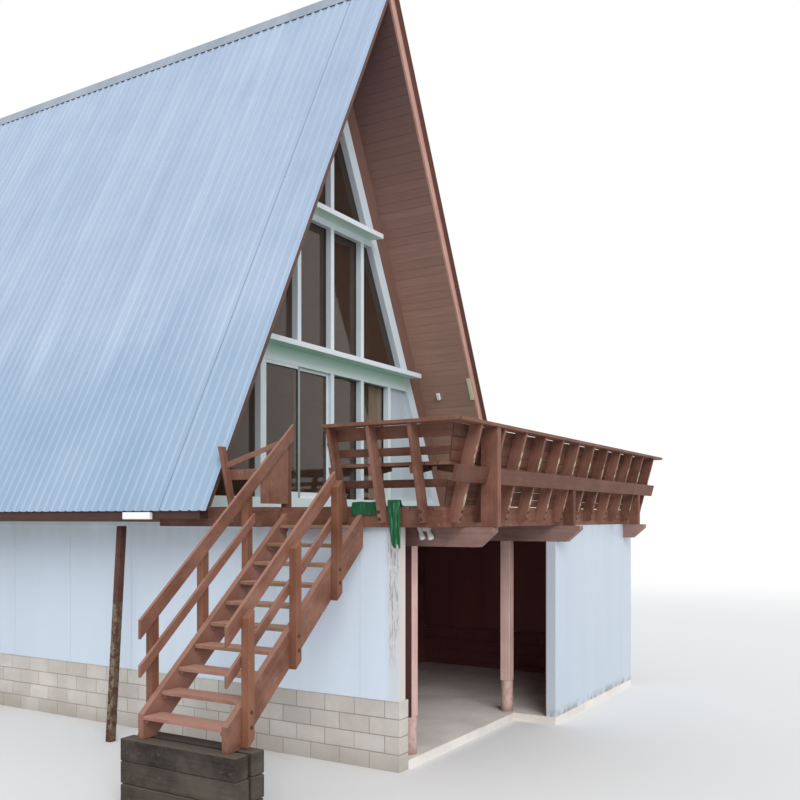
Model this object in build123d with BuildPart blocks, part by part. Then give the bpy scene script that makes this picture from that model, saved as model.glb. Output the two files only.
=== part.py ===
from build123d import *
import math
import os

# A-frame cabin on a half-open basement, with a raised timber deck and an outside stair.
# Millimetres. X runs across the gable, Y runs from the front to the back, Z is up.
# The origin lies on the ground, under the ridge, in line with the front window wall.

os.makedirs("parts", exist_ok=True)

# Levels
slab_thickness = 100
block_height = 780
beam_underside = 2480
beam_height = 218
joist_height = 184
board_thickness = 38

# Plan of the basement
basement_inset = 870
left_wall_front = -3243
front_wall_face = -3850
rear_overhang = 600
block_thickness = 190
block_setback = 15
stud_wall_thickness = 140
back_wall_thickness = 120
front_wall_left_end = -170

# Carport posts and deck beams
beam_width = 140
beam_left_inset = 460
beam_middle_x = -100
beam_right_inset = 360
beam_nose_reach = 340
beam_nose_rake = 190
beam_nose_height = 54
beam_bearing = 90
beam_side_clearance = 3
post_setback = 744
post_size = 140
pipe_diameter = 165
pipe_height = 430
pipe_chamfer = 6

# Deck
deck_overhang = 70
joist_thickness = 38
joist_spacing = 610
joist_lead = 60
deck_board_width = 140
deck_board_gap = 6
deck_back_gap = 12
turf_thickness = 10
turf_inset = 25
turf_strip_width = 190
turf_strip_drop = 485
turf_flap_drop = 80
turf_strip_y = -3230

# Leaning deck rail with its benches
rail_height = 900
rail_lean_angle = 14.7
support_thickness = 45
support_depth = 140
support_foot_lift = 50
support_foot_reach = 100
front_support_count = 12
front_support_inset = 140
front_support_margin = 30
side_support_spacing = 515
left_rail_end = -2590
right_rail_end = -1290
rail_cap_width = 165
rail_cap_thickness = 38
rail_cap_reach = 400
rail_cap_overrun = 60
mitre_gap = 3
seat_height = 475
seat_reach = 190
seat_plank_width = 140
seat_plank_gap = 12
seat_plank_count = 2
bracket_thickness = 38
bracket_height = 90
bracket_tip = 38
rail_board_thickness = 32
rail_board_gap = 3
top_board_height = 140
back_board_height = 89
back_board_level = 544
kick_board_height = 89
kick_board_level = 205
front_kick_level = 15
front_kick_count = 3
band_height = 180
band_top = 425
band_thickness = 38
band_overrun = 270
rail_clearance = 2
rail_post_width = 90
tall_post_depth = 205
tall_post_inset = 15
short_post_depth = 150
short_post_setback = 95
post_clearance = 3

# Deck wings beside the roof, and the short rail on the left one
left_wing_front = -1660
right_wing_front = -1140
wing_setback = 235
wing_gap = 3
short_support_y = -1250
short_support_top = 3620
short_support_depth = 89
short_support_shift = 92
short_board_level = 3240
short_board_height = 120
short_brace_width = 60
short_brace_start = 3400
short_brace_end = 3700

# Outside stair
tread_count = 10
stair_start = 90
tread_clearance = 2
stair_rise = 203
stair_run = 232
tread_depth = 240
tread_thickness = 38
stair_left = -1678
stair_right = -2820
stringer_thickness = 70
stringer_depth = 286
stringer_cover = 12
cleat_height = 38
cleat_inset = 20
cleat_thickness = 38
stair_post_size = 89
stair_post_pitch = 712
first_stair_post = 185
left_stair_post_count = 4
right_stair_post_count = 3
post_top_cover = 95
handrail_height = 920
midrail_height = 480
handrail_depth = 140
midrail_depth = 89
handrail_thickness = 38
side_panel_thickness = 19
side_panel_reach = 400
side_panel_foot = 2965
sleeper_width = 190
sleeper_length = 1500
sleeper_count = 2
sleeper_gap = 25
sleeper_toe = 80
stair_foot_level = 665

# Roof
eave_half_span = 4130
eave_level = 2890
roof_pitch = 63.2
roof_front = -1200
roof_length = 11000
rib_pitch = 152.4
rib_height = 19
rib_base = 66
rib_top = 26
sheet_gauge = 3
sheet_ridge_gap = 10
sheathing_thickness = 20
rafter_depth = 90
rafter_thickness = 38
rafter_spacing = 610
soffit_thickness = 20
foot_level = 2930
verge_overhang = 80
barge_thickness = 38
barge_depth = 130
ridge_cap_leg = 230
ridge_board_thickness = 38
ridge_board_height = 140
ridge_gap = 1
eave_beam_width = 140
eave_beam_inset = 45
eave_beam_height = 140
prop_size = 90
prop_rake = 180
prop_inset = 205
prop_bay_count = 5

# Front window wall
window_face = -50
frame_depth = 110
bent_depth = 288
bent_thickness = 140
trim_width = 200
mullion_width = 90
mullion_spacing = 860
sill_height = 180
header_underside = 5080
header_height = 300
upper_header_underside = 7385
upper_header_height = 155
visor_projection = 280
visor_thickness = 80
visor_rise = 20
lower_visor_overrun = 211
upper_visor_overrun = 22
glass_thickness = 8
door_stile = 45
door_bottom_rail = 90
door_depth = 45
track_clearance = 4
end_panel_thickness = 20
end_panel_face = 20
glass_face = 60
glass_cover = 70
pane_lap = 80
door_track_inset = 8
curtain_left_gap = 420
curtain_right_gap = 30
curtain_gap = 0.3
curtain_rail_depth = 60
curtain_rail_height = 30
curtain_rail_lift = 90
curtain_thickness = 12
curtain_foot_drop = 100

# Rear gable
rear_window_width = 1500
rear_window_height = 1200
rear_window_sill = 1000
rear_upper_window_width = 900
rear_upper_window_height = 900
rear_upper_window_level = 3600
rear_frame_width = 70
rear_frame_projection = 20

# Small fittings
utility_box_length = 460
utility_box_height = 84
utility_box_depth = 50
utility_box_y = -100
lamp_head_radius = 45
lamp_head_length = 110
lamp_plate_size = 110
lamp_plate_thickness = 20
lamp_y = -3363
lamp_level = 2660
lamp_splay = 28
lamp_taper = 10
lamp_root = 6

# Sizes that follow from the ones above
joist_underside = beam_underside + beam_height
joist_top = joist_underside + joist_height
deck_level = joist_top + board_thickness
pitch_cos = math.cos(math.radians(roof_pitch))
pitch_sin = math.sin(math.radians(roof_pitch))
pitch_tan = math.tan(math.radians(roof_pitch))
sheet_back = rib_height + sheet_gauge
sheathing_back = sheet_back + sheathing_thickness
rafter_back = sheathing_back + rafter_depth
soffit_back = rafter_back + soffit_thickness
roof_back = roof_front + roof_length
barge_face = roof_front + verge_overhang
panel_front = barge_face + barge_thickness
panel_back = roof_back - verge_overhang - barge_thickness
panel_length = panel_back - panel_front
basement_half_width = eave_half_span - basement_inset
basement_back = roof_back - rear_overhang
floor_half_width = eave_half_span - eave_beam_inset - eave_beam_width
deck_half_width = basement_half_width + deck_overhang
deck_front = front_wall_face
wing_edge = floor_half_width - wing_setback
beam_left_x = -basement_half_width + beam_left_inset
beam_right_x = basement_half_width - beam_right_inset
beam_front = deck_front - beam_nose_reach
post_line = deck_front + post_setback
prop_top = floor_half_width - prop_inset
band_half_length = deck_half_width + band_overrun
front_support_first = -deck_half_width + front_support_inset
front_support_run = 2 * deck_half_width - front_support_inset - front_support_margin
front_support_spacing = front_support_run / (front_support_count - 1)
side_panel_left = -deck_half_width - side_panel_reach
curtain_left = mullion_spacing + curtain_left_gap
curtain_right = 2 * mullion_spacing - curtain_right_gap
curtain_rail_level = header_underside + curtain_rail_lift
stud_inner = basement_half_width - stud_wall_thickness
block_outer = basement_half_width - block_setback
block_inner = block_outer - block_thickness
stair_slope = math.atan2(stair_rise, stair_run)
rim_face = deck_half_width


def gable_plane(y):
    """Upright plane across the building at one place along its length."""
    return Plane.XZ.offset(-y)


def slope_point(along, depth):
    """Point on the left roof slope: along it from the eave, and inwards from its outer face."""
    x = -eave_half_span + along * pitch_cos + depth * pitch_sin
    z = eave_level + along * pitch_sin - depth * pitch_cos
    return (x, z)


def slope_at_level(level, depth):
    """Point of the left slope at a given height, for a given depth inside its outer face."""
    return slope_point((level - eave_level + depth * pitch_cos) / pitch_sin, depth)


def slope_at_ridge(depth, from_centre=0):
    """Point where a layer of the left slope meets the ridge plane, or a line beside it."""
    return slope_point((eave_half_span - from_centre - depth * pitch_sin) / pitch_cos, depth)


def layer_outline(outer, inner, level, from_centre=0):
    """Outline of one layer of the left slope, level at its foot and upright at the ridge."""
    return [
        slope_at_level(level, outer),
        slope_at_ridge(outer, from_centre),
        slope_at_ridge(inner, from_centre),
        slope_at_level(level, inner),
    ]


# Basement: floor slab, block base and framed walls

with BuildPart() as basement_slab:
    with BuildSketch():
        with BuildLine():
            Polyline(
                (-block_inner, left_wall_front),
                (front_wall_left_end, left_wall_front),
                (front_wall_left_end, front_wall_face),
                (block_outer, front_wall_face),
                (block_outer, front_wall_face + stud_wall_thickness),
                (block_inner, front_wall_face + stud_wall_thickness),
                (block_inner, basement_back - block_setback - block_thickness),
                (-block_inner, basement_back - block_setback - block_thickness),
                close=True,
            )
        make_face()
    extrude(amount=slab_thickness)
basement_slab.part.label = "basement_slab"
export_step(basement_slab.part, "parts/basement_slab.step")

rear_block_face = basement_back - block_setback - block_thickness

right_wall_front = front_wall_face + stud_wall_thickness

with BuildPart() as side_block_walls:
    with BuildSketch():
        with Locations(((-block_outer - block_inner) / 2, (left_wall_front + rear_block_face) / 2)):
            Rectangle(block_thickness, rear_block_face - left_wall_front)
        with Locations(((block_outer + block_inner) / 2, (right_wall_front + rear_block_face) / 2)):
            Rectangle(block_thickness, rear_block_face - right_wall_front)
    extrude(amount=block_height)
side_block_walls.part.label = "side_block_walls"
export_step(side_block_walls.part, "parts/side_block_walls.step")

with BuildPart() as rear_block_wall:
    with BuildSketch():
        with Locations((0, rear_block_face + block_thickness / 2)):
            Rectangle(2 * block_outer, block_thickness)
    extrude(amount=block_height)
rear_block_wall.part.label = "rear_block_wall"
export_step(rear_block_wall.part, "parts/rear_block_wall.step")

framed_height = joist_underside - block_height

with BuildPart() as side_framed_walls:
    with BuildSketch(Plane.XY.offset(block_height)):
        with Locations((-basement_half_width + stud_wall_thickness / 2, (left_wall_front + basement_back) / 2)):
            Rectangle(stud_wall_thickness, basement_back - left_wall_front)
        with Locations((basement_half_width - stud_wall_thickness / 2, (right_wall_front + basement_back) / 2)):
            Rectangle(stud_wall_thickness, basement_back - right_wall_front)
    extrude(amount=framed_height)
side_framed_walls.part.label = "side_framed_walls"
export_step(side_framed_walls.part, "parts/side_framed_walls.step")

with BuildPart() as rear_framed_wall:
    with BuildSketch(Plane.XY.offset(block_height)):
        with Locations((0, basement_back - stud_wall_thickness / 2)):
            Rectangle(2 * stud_inner, stud_wall_thickness)
    extrude(amount=framed_height)
rear_framed_wall.part.label = "rear_framed_wall"
export_step(rear_framed_wall.part, "parts/rear_framed_wall.step")

# Carport: back wall with beam pockets, front wall with beam notches, posts on steel pipes

beam_places = (beam_left_x, beam_middle_x, beam_right_x)

with BuildPart() as carport_back_wall:
    with BuildSketch(gable_plane(0)):
        with Locations((0, (slab_thickness + joist_underside) / 2)):
            Rectangle(2 * block_inner, joist_underside - slab_thickness)
    extrude(amount=-back_wall_thickness)
    for beam_x in beam_places:
        with BuildSketch(gable_plane(0)):
            with Locations((beam_x, beam_underside + beam_height / 2)):
                Rectangle(beam_width + 2 * beam_side_clearance, beam_height)
        extrude(amount=-beam_bearing, mode=Mode.SUBTRACT)
carport_back_wall.part.label = "carport_back_wall"
export_step(carport_back_wall.part, "parts/carport_back_wall.step")

front_wall_right_end = basement_half_width
front_wall_width = front_wall_right_end - front_wall_left_end

with BuildPart() as front_right_wall:
    with BuildSketch(gable_plane(front_wall_face)):
        with Locations(((front_wall_left_end + front_wall_right_end) / 2, (slab_thickness + joist_underside) / 2)):
            Rectangle(front_wall_width, joist_underside - slab_thickness)
        for beam_x in (beam_middle_x, beam_right_x):
            with Locations((beam_x, beam_underside + beam_height / 2)):
                Rectangle(beam_width + 2 * beam_side_clearance, beam_height, mode=Mode.SUBTRACT)
    extrude(amount=-stud_wall_thickness)
front_right_wall.part.label = "front_right_wall"
export_step(front_right_wall.part, "parts/front_right_wall.step")

post_places = [(beam_left_x, post_line), (beam_middle_x, post_line)]

with BuildPart() as post_pipes:
    with BuildSketch(Plane.XY.offset(slab_thickness)):
        with Locations(*post_places):
            Circle(pipe_diameter / 2)
    extrude(amount=pipe_height)
    chamfer(post_pipes.faces().sort_by(Axis.Z).last.edges(), pipe_chamfer)
post_pipes.part.label = "post_pipes"
export_step(post_pipes.part, "parts/post_pipes.step")

with BuildPart() as carport_posts:
    with BuildSketch(Plane.XY.offset(slab_thickness + pipe_height)):
        with Locations(*post_places):
            Rectangle(post_size, post_size)
    extrude(amount=beam_underside - slab_thickness - pipe_height)
carport_posts.part.label = "carport_posts"
export_step(carport_posts.part, "parts/carport_posts.step")

# Deck floor: three beams with raked front ends, joists, rim boards and planks

with BuildPart() as deck_beams:
    for beam_x in beam_places:
        with BuildSketch(Plane.YZ.offset(beam_x - beam_width / 2)):
            with BuildLine():
                Polyline(
                    (beam_front + beam_nose_rake, beam_underside),
                    (beam_bearing, beam_underside),
                    (beam_bearing, joist_underside),
                    (beam_front, joist_underside),
                    (beam_front, joist_underside - beam_nose_height),
                    close=True,
                )
            make_face()
        extrude(amount=beam_width)
deck_beams.part.label = "deck_beams"
export_step(deck_beams.part, "parts/deck_beams.step")

rim_inner = rim_face - board_thickness
deck_joist_room = -deck_front - 2 * board_thickness
deck_joist_count = int(deck_joist_room / joist_spacing) + 1

with BuildPart() as deck_joists:
    for number in range(deck_joist_count):
        joist_y = deck_front + board_thickness + joist_lead + number * joist_spacing
        with BuildSketch(Plane.XY.offset(joist_underside)):
            with Locations((0, joist_y + joist_thickness / 2)):
                Rectangle(2 * rim_inner, joist_thickness)
        extrude(amount=joist_height)
deck_joists.part.label = "deck_joists"
export_step(deck_joists.part, "parts/deck_joists.step")

with BuildPart() as deck_front_rim:
    with BuildSketch(Plane.XY.offset(joist_underside)):
        with Locations((0, deck_front + board_thickness / 2)):
            Rectangle(2 * rim_face, board_thickness)
    extrude(amount=joist_height)
deck_front_rim.part.label = "deck_front_rim"
export_step(deck_front_rim.part, "parts/deck_front_rim.step")

side_rim_start = deck_front + board_thickness
side_rim_length = window_face - deck_back_gap - side_rim_start

with BuildPart() as deck_side_rims:
    with BuildSketch(Plane.XY.offset(joist_underside)):
        with Locations(
            (-rim_face + board_thickness / 2, side_rim_start + side_rim_length / 2),
            (rim_face - board_thickness / 2, side_rim_start + side_rim_length / 2),
        ):
            Rectangle(board_thickness, side_rim_length)
    extrude(amount=joist_height)
deck_side_rims.part.label = "deck_side_rims"
export_step(deck_side_rims.part, "parts/deck_side_rims.step")

deck_depth = window_face - deck_back_gap - deck_front
deck_board_count = int((deck_depth + deck_board_gap) / (deck_board_width + deck_board_gap))

wing_width = wing_edge - rim_face - wing_gap
wing_back = window_face - deck_back_gap

with BuildPart() as deck_boards:
    with BuildSketch(Plane.XY.offset(joist_top)):
        for number in range(deck_board_count):
            board_y = deck_front + number * (deck_board_width + deck_board_gap) + deck_board_width / 2
            with Locations((0, board_y)):
                Rectangle(2 * rim_face, deck_board_width)
        with Locations((wing_width / 2 - wing_edge, (left_wing_front + wing_back) / 2)):
            Rectangle(wing_width, wing_back - left_wing_front)
        with Locations((wing_edge - wing_width / 2, (right_wing_front + wing_back) / 2)):
            Rectangle(wing_width, wing_back - right_wing_front)
    extrude(amount=board_thickness)
deck_boards.part.label = "deck_boards"
export_step(deck_boards.part, "parts/deck_boards.step")

deck_back = deck_front + deck_board_count * (deck_board_width + deck_board_gap) - deck_board_gap

# Rim boards of the narrow wings that fill the gap between the deck and the foot of the roof

with BuildPart() as wing_rims:
    for side, front in ((-1, left_wing_front), (1, right_wing_front)):
        with BuildSketch(Plane.XY.offset(joist_underside)):
            with BuildLine():
                Polyline(
                    (side * rim_face, front),
                    (side * wing_edge, front),
                    (side * wing_edge, wing_back),
                    (side * (wing_edge - board_thickness), wing_back),
                    (side * (wing_edge - board_thickness), front + board_thickness),
                    (side * rim_face, front + board_thickness),
                    close=True,
                )
            make_face()
        extrude(amount=joist_height)
wing_rims.part.label = "wing_rims"
export_step(wing_rims.part, "parts/wing_rims.step")

# Leaning rail: each support is a plank that leans out from the rim board and carries the bench

lean_tan = math.tan(math.radians(rail_lean_angle))
lean_cos = math.cos(math.radians(rail_lean_angle))
support_foot = joist_underside + support_foot_lift
support_top = deck_level + rail_height - rail_cap_thickness
seat_level = deck_level + seat_height


def outer_reach(level):
    """How far the outer edge of a support stands out from the rim board at a height."""
    return support_foot_reach + (level - support_foot) * lean_tan


def inner_reach(level):
    """How far the inner edge of a support stands out from the rim board at a height."""
    return outer_reach(level) - support_depth / lean_cos


def support_outline():
    """Section of a support: distance out from the rim face, and height."""
    return [
        (0, support_foot),
        (outer_reach(support_foot), support_foot),
        (outer_reach(support_top), support_top),
        (inner_reach(support_top), support_top),
        (inner_reach(deck_level + rail_clearance), deck_level + rail_clearance),
        (0, deck_level + rail_clearance),
    ]


def bracket_outline():
    """Section of a bench bracket: level on top, tapered below, beside its support."""
    top = seat_level - board_thickness
    return [
        (outer_reach(top) - rail_clearance, top),
        (-seat_reach, top),
        (-seat_reach, top - bracket_tip),
        (inner_reach(top - bracket_height), top - bracket_height),
        (outer_reach(top - bracket_height) - rail_clearance, top - bracket_height),
    ]


def board_outline(bottom, rise, thickness, offset):
    """Section of a leaning board whose outer face lies a distance inside the supports' edge."""
    low = outer_reach(bottom) - offset
    high = outer_reach(bottom + rise) - offset
    return [
        (low, bottom),
        (high, bottom + rise),
        (high - thickness / lean_cos, bottom + rise),
        (low - thickness / lean_cos, bottom),
    ]


def to_front(outline):
    """Section points placed against the front rim board, for a plane across the deck."""
    return [(deck_front - out, level) for out, level in outline]


def to_left(outline):
    """Section points placed against the left rim board."""
    return [(-rim_face - out, level) for out, level in outline]


def to_right(outline):
    """Section points placed against the right rim board."""
    return [(rim_face + out, level) for out, level in outline]


front_places = [front_support_first + n * front_support_spacing for n in range(front_support_count)]
left_count = int((left_rail_end - deck_front) / side_support_spacing) + 1
left_places = [left_rail_end - n * side_support_spacing for n in range(left_count)]
right_count = int((right_rail_end - support_thickness - deck_front) / side_support_spacing) + 1
right_places = [right_rail_end - support_thickness - n * side_support_spacing for n in range(right_count)]

with BuildPart() as rail_supports:
    for place in front_places:
        with BuildSketch(Plane.YZ.offset(place - support_thickness / 2)):
            with BuildLine():
                Polyline(*to_front(support_outline()), close=True)
            make_face()
        extrude(amount=support_thickness)
    for places, to_side in ((left_places, to_left), (right_places, to_right)):
        for place in places:
            with BuildSketch(gable_plane(place - support_thickness / 2)):
                with BuildLine():
                    Polyline(*to_side(support_outline()), close=True)
                make_face()
            extrude(amount=-support_thickness)
rail_supports.part.label = "rail_supports"
export_step(rail_supports.part, "parts/rail_supports.step")

with BuildPart() as bench_brackets:
    for place in front_places:
        with BuildSketch(Plane.YZ.offset(place + support_thickness / 2)):
            with BuildLine():
                Polyline(*to_front(bracket_outline()), close=True)
            make_face()
        extrude(amount=bracket_thickness)
    for places, to_side in ((left_places, to_left), (right_places, to_right)):
        for place in places:
            with BuildSketch(gable_plane(place + support_thickness / 2)):
                with BuildLine():
                    Polyline(*to_side(bracket_outline()), close=True)
                make_face()
            extrude(amount=-bracket_thickness)
bench_brackets.part.label = "bench_brackets"
export_step(bench_brackets.part, "parts/bench_brackets.step")

seat_outer = inner_reach(seat_level - board_thickness) - rail_clearance
seat_pitch = seat_plank_width + seat_plank_gap
seat_inner = seat_outer - seat_plank_count * seat_pitch + seat_plank_gap
side_bench_front = deck_front - seat_inner + seat_plank_gap
left_bench_back = left_rail_end + support_thickness / 2 + bracket_thickness
right_bench_back = right_rail_end - support_thickness / 2 + bracket_thickness

with BuildPart() as bench_planks:
    with BuildSketch(Plane.XY.offset(seat_level - board_thickness)):
        for number in range(seat_plank_count):
            plank_middle = seat_outer - number * seat_pitch - seat_plank_width / 2
            with Locations((0, deck_front - plank_middle)):
                Rectangle(2 * (rim_face + seat_outer), seat_plank_width)
            with Locations((-rim_face - plank_middle, (side_bench_front + left_bench_back) / 2)):
                Rectangle(seat_plank_width, left_bench_back - side_bench_front)
            with Locations((rim_face + plank_middle, (side_bench_front + right_bench_back) / 2)):
                Rectangle(seat_plank_width, right_bench_back - side_bench_front)
    extrude(amount=board_thickness)
bench_planks.part.label = "bench_planks"
export_step(bench_planks.part, "parts/bench_planks.step")

cap_outer = rim_face + rail_cap_reach
cap_inner = cap_outer - rail_cap_width
cap_front = deck_front - rail_cap_reach
cap_back = cap_front + rail_cap_width

with BuildPart() as rail_caps:
    with BuildSketch(Plane.XY.offset(support_top)):
        with BuildLine():
            Polyline(
                (-cap_outer + mitre_gap, cap_front),
                (cap_outer - mitre_gap, cap_front),
                (cap_inner - mitre_gap, cap_back),
                (-cap_inner + mitre_gap, cap_back),
                close=True,
            )
        make_face()
        for side, end in ((-1, left_rail_end), (1, right_rail_end)):
            with BuildLine():
                Polyline(
                    (side * cap_outer, cap_front + mitre_gap),
                    (side * cap_outer, end + rail_cap_overrun),
                    (side * cap_inner, end + rail_cap_overrun),
                    (side * cap_inner, cap_back + mitre_gap),
                    close=True,
                )
            make_face()
    extrude(amount=rail_cap_thickness)
rail_caps.part.label = "rail_caps"
export_step(rail_caps.part, "parts/rail_caps.step")

# Boards behind the supports: open on the sides, a closed back rest on the front

inner_offset = support_depth / lean_cos
top_board_rise = top_board_height * lean_cos
top_board_bottom = support_top - rail_clearance - top_board_rise
second_board_bottom = top_board_bottom - rail_board_gap - top_board_rise
low_board_bottom = seat_level + rail_clearance
low_board_rise = second_board_bottom - rail_board_gap - low_board_bottom
kick_board_rise = kick_board_height * lean_cos
front_kick_bottom = deck_level + front_kick_level
side_boards = (
    (top_board_bottom, top_board_rise),
    (deck_level + back_board_level, back_board_height * lean_cos),
    (deck_level + kick_board_level, kick_board_rise),
)
front_boards = (
    (top_board_bottom, top_board_rise),
    (second_board_bottom, top_board_rise),
    (low_board_bottom, low_board_rise),
    *[
        (front_kick_bottom + number * (kick_board_rise + rail_board_gap), kick_board_rise)
        for number in range(front_kick_count)
    ],
)
rail_room = rail_cap_reach + support_depth
tall_post_front = cap_front + tall_post_inset
tall_post_back = tall_post_front + tall_post_depth

with BuildPart() as front_rail_boards:
    with BuildSketch(Plane.YZ.offset(-rim_face - rail_room)):
        for bottom, rise in front_boards:
            with BuildLine():
                Polyline(*to_front(board_outline(bottom, rise, rail_board_thickness, inner_offset)), close=True)
            make_face()
    extrude(amount=2 * (rim_face + rail_room))
    with BuildSketch(Plane.XY.offset(deck_level)):
        with Locations((beam_left_x, (tall_post_front + tall_post_back) / 2)):
            Rectangle(rail_post_width + 2 * post_clearance, tall_post_depth + 2 * post_clearance)
    extrude(amount=rail_height, mode=Mode.SUBTRACT)
    split(bisect_by=Plane((-rim_face, deck_front, 0), z_dir=(1, -1, 0)).offset(mitre_gap))
    split(bisect_by=Plane((rim_face, deck_front, 0), z_dir=(-1, -1, 0)).offset(mitre_gap))
front_rail_boards.part.label = "front_rail_boards"
export_step(front_rail_boards.part, "parts/front_rail_boards.step")

left_board_end = left_rail_end + support_thickness / 2
right_board_end = right_rail_end - support_thickness / 2

with BuildPart() as side_rail_boards:
    for side, end in ((-1, left_board_end), (1, right_board_end)):
        with BuildSketch(gable_plane(end)):
            for bottom, rise in side_boards:
                section = board_outline(bottom, rise, rail_board_thickness, inner_offset)
                with BuildLine():
                    Polyline(*[(side * (rim_face + out), level) for out, level in section], close=True)
                make_face()
        extrude(amount=end - deck_front + rail_room)
    with BuildSketch(Plane.XY.offset(deck_level)):
        with BuildLine():
            Polyline(
                (-rim_face - rail_room, deck_front - rail_room + mitre_gap),
                (-rim_face, deck_front + mitre_gap),
                (rim_face, deck_front + mitre_gap),
                (rim_face + rail_room, deck_front - rail_room + mitre_gap),
                (rim_face + rail_room, deck_front - 2 * rail_room),
                (-rim_face - rail_room, deck_front - 2 * rail_room),
                close=True,
            )
        make_face()
    extrude(amount=rail_height, mode=Mode.SUBTRACT)
side_rail_boards.part.label = "side_rail_boards"
export_step(side_rail_boards.part, "parts/side_rail_boards.step")

# Band across the front supports, and the posts over the beam ends

band_rise = band_height * lean_cos
band_bottom = deck_level + band_top - band_rise
band_outline = board_outline(band_bottom, band_rise, band_thickness, -band_thickness / lean_cos)

with BuildPart() as rail_band:
    with BuildSketch(Plane.YZ.offset(-band_half_length)):
        with BuildLine():
            Polyline(*to_front(band_outline), close=True)
        make_face()
    extrude(amount=2 * band_half_length)
    with BuildSketch(Plane.XY.offset(deck_level)):
        with Locations((beam_left_x, (tall_post_front + tall_post_back) / 2)):
            Rectangle(rail_post_width + 2 * post_clearance, tall_post_depth + 2 * post_clearance)
    extrude(amount=rail_height, mode=Mode.SUBTRACT)
rail_band.part.label = "rail_band"
export_step(rail_band.part, "parts/rail_band.step")

short_post_middle = beam_front + short_post_setback + short_post_depth / 2

with BuildPart() as rail_posts:
    with BuildSketch(Plane.XY.offset(joist_underside)):
        with Locations((beam_left_x, (tall_post_front + tall_post_back) / 2)):
            Rectangle(rail_post_width, tall_post_depth)
    extrude(amount=support_top - joist_underside)
    with BuildSketch(Plane.XY.offset(joist_underside)):
        with Locations((beam_middle_x, short_post_middle), (beam_right_x, short_post_middle)):
            Rectangle(rail_post_width, short_post_depth)
    extrude(amount=band_bottom - joist_underside)
rail_posts.part.label = "rail_posts"
export_step(rail_posts.part, "parts/rail_posts.step")

# Green turf on the deck, with a flap over the left rim and a strip that hangs down

first_nose_x = -rim_face + stair_start - stair_run
stair_foot_x = first_nose_x - (tread_count - 1) * stair_run
newel_right = stair_foot_x + first_stair_post + (left_stair_post_count - 1) * stair_post_pitch + stair_post_size
newel_room = newel_right + rim_face + turf_inset
flap_front, flap_back = left_places[1] + support_thickness, left_places[0] - support_thickness

with BuildPart() as deck_turf:
    with BuildSketch(Plane.XY.offset(deck_level)):
        with BuildLine():
            Polyline(
                (-rim_face + turf_inset, deck_front + turf_inset),
                (rim_face - turf_inset, deck_front + turf_inset),
                (rim_face - turf_inset, deck_back - turf_inset),
                (-rim_face + newel_room, deck_back - turf_inset),
                (-rim_face + newel_room, stair_left - turf_inset),
                (-rim_face + turf_inset, stair_left - turf_inset),
                close=True,
            )
        make_face()
        with Locations((-rim_face, (flap_front + flap_back) / 2)):
            Rectangle(2 * turf_inset, flap_back - flap_front)
        with Locations((-rim_face, turf_strip_y)):
            Rectangle(2 * turf_inset, turf_strip_width)
    extrude(amount=turf_thickness)
    with BuildSketch(Plane.YZ.offset(-rim_face - turf_inset)):
        with Locations(((flap_front + flap_back) / 2, deck_level + turf_thickness - turf_flap_drop / 2)):
            Rectangle(flap_back - flap_front, turf_flap_drop)
        with Locations((turf_strip_y, deck_level + turf_thickness - turf_strip_drop / 2)):
            Rectangle(turf_strip_width, turf_strip_drop)
    extrude(amount=turf_thickness)
deck_turf.part.label = "deck_turf"
export_step(deck_turf.part, "parts/deck_turf.step")

# Outside stair: straight stringers, treads on small cleats, posts and handrails


def nosing_level(x):
    """Height of the line over the tread noses."""
    return deck_level - stair_rise + (x - first_nose_x) * stair_rise / stair_run


stringer_drop = stringer_depth / math.cos(stair_slope)
handrail_drop = handrail_depth / math.cos(stair_slope)
midrail_drop = midrail_depth / math.cos(stair_slope)
stringer_top_x = -rim_face
stringer_low_x = stair_foot_x + (stair_foot_level - nosing_level(stair_foot_x) - stringer_cover + stringer_drop) * (
    stair_run / stair_rise
)

with BuildPart() as stair_stringers:
    for outer in (stair_left, stair_right + stringer_thickness):
        with BuildSketch(gable_plane(outer)):
            with BuildLine():
                Polyline(
                    (stair_foot_x, stair_foot_level),
                    (stair_foot_x, nosing_level(stair_foot_x) + stringer_cover),
                    (stringer_top_x, nosing_level(stringer_top_x) + stringer_cover),
                    (stringer_top_x, nosing_level(stringer_top_x) + stringer_cover - stringer_drop),
                    (stringer_low_x, stair_foot_level),
                    close=True,
                )
            make_face()
        extrude(amount=stringer_thickness)
stair_stringers.part.label = "stair_stringers"
export_step(stair_stringers.part, "parts/stair_stringers.step")

tread_y = (stair_left + stair_right) / 2
tread_length = stair_left - stair_right - 2 * (stringer_thickness + tread_clearance)
cleat_y = tread_length / 2 + tread_clearance - cleat_thickness / 2

with BuildPart() as stair_treads:
    for number in range(tread_count):
        nose_x = first_nose_x - number * stair_run
        nose_z = nosing_level(nose_x)
        back_x = min(nose_x + tread_depth, -rim_face - tread_clearance)
        with BuildSketch(Plane.XY.offset(nose_z - tread_thickness)):
            with Locations(((nose_x + back_x) / 2, tread_y)):
                Rectangle(back_x - nose_x, tread_length)
        extrude(amount=tread_thickness)
stair_treads.part.label = "stair_treads"
export_step(stair_treads.part, "parts/stair_treads.step")

with BuildPart() as stair_cleats:
    for number in range(tread_count):
        nose_x = first_nose_x - number * stair_run
        cleat_top = nosing_level(nose_x) - tread_thickness
        back_x = min(nose_x + tread_depth, -rim_face - tread_clearance)
        with BuildSketch(Plane.XY.offset(cleat_top - cleat_height)):
            with Locations(((nose_x + back_x) / 2, tread_y - cleat_y), ((nose_x + back_x) / 2, tread_y + cleat_y)):
                Rectangle(back_x - nose_x - 2 * cleat_inset, cleat_thickness)
        extrude(amount=cleat_height)
stair_cleats.part.label = "stair_cleats"
export_step(stair_cleats.part, "parts/stair_cleats.step")

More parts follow.
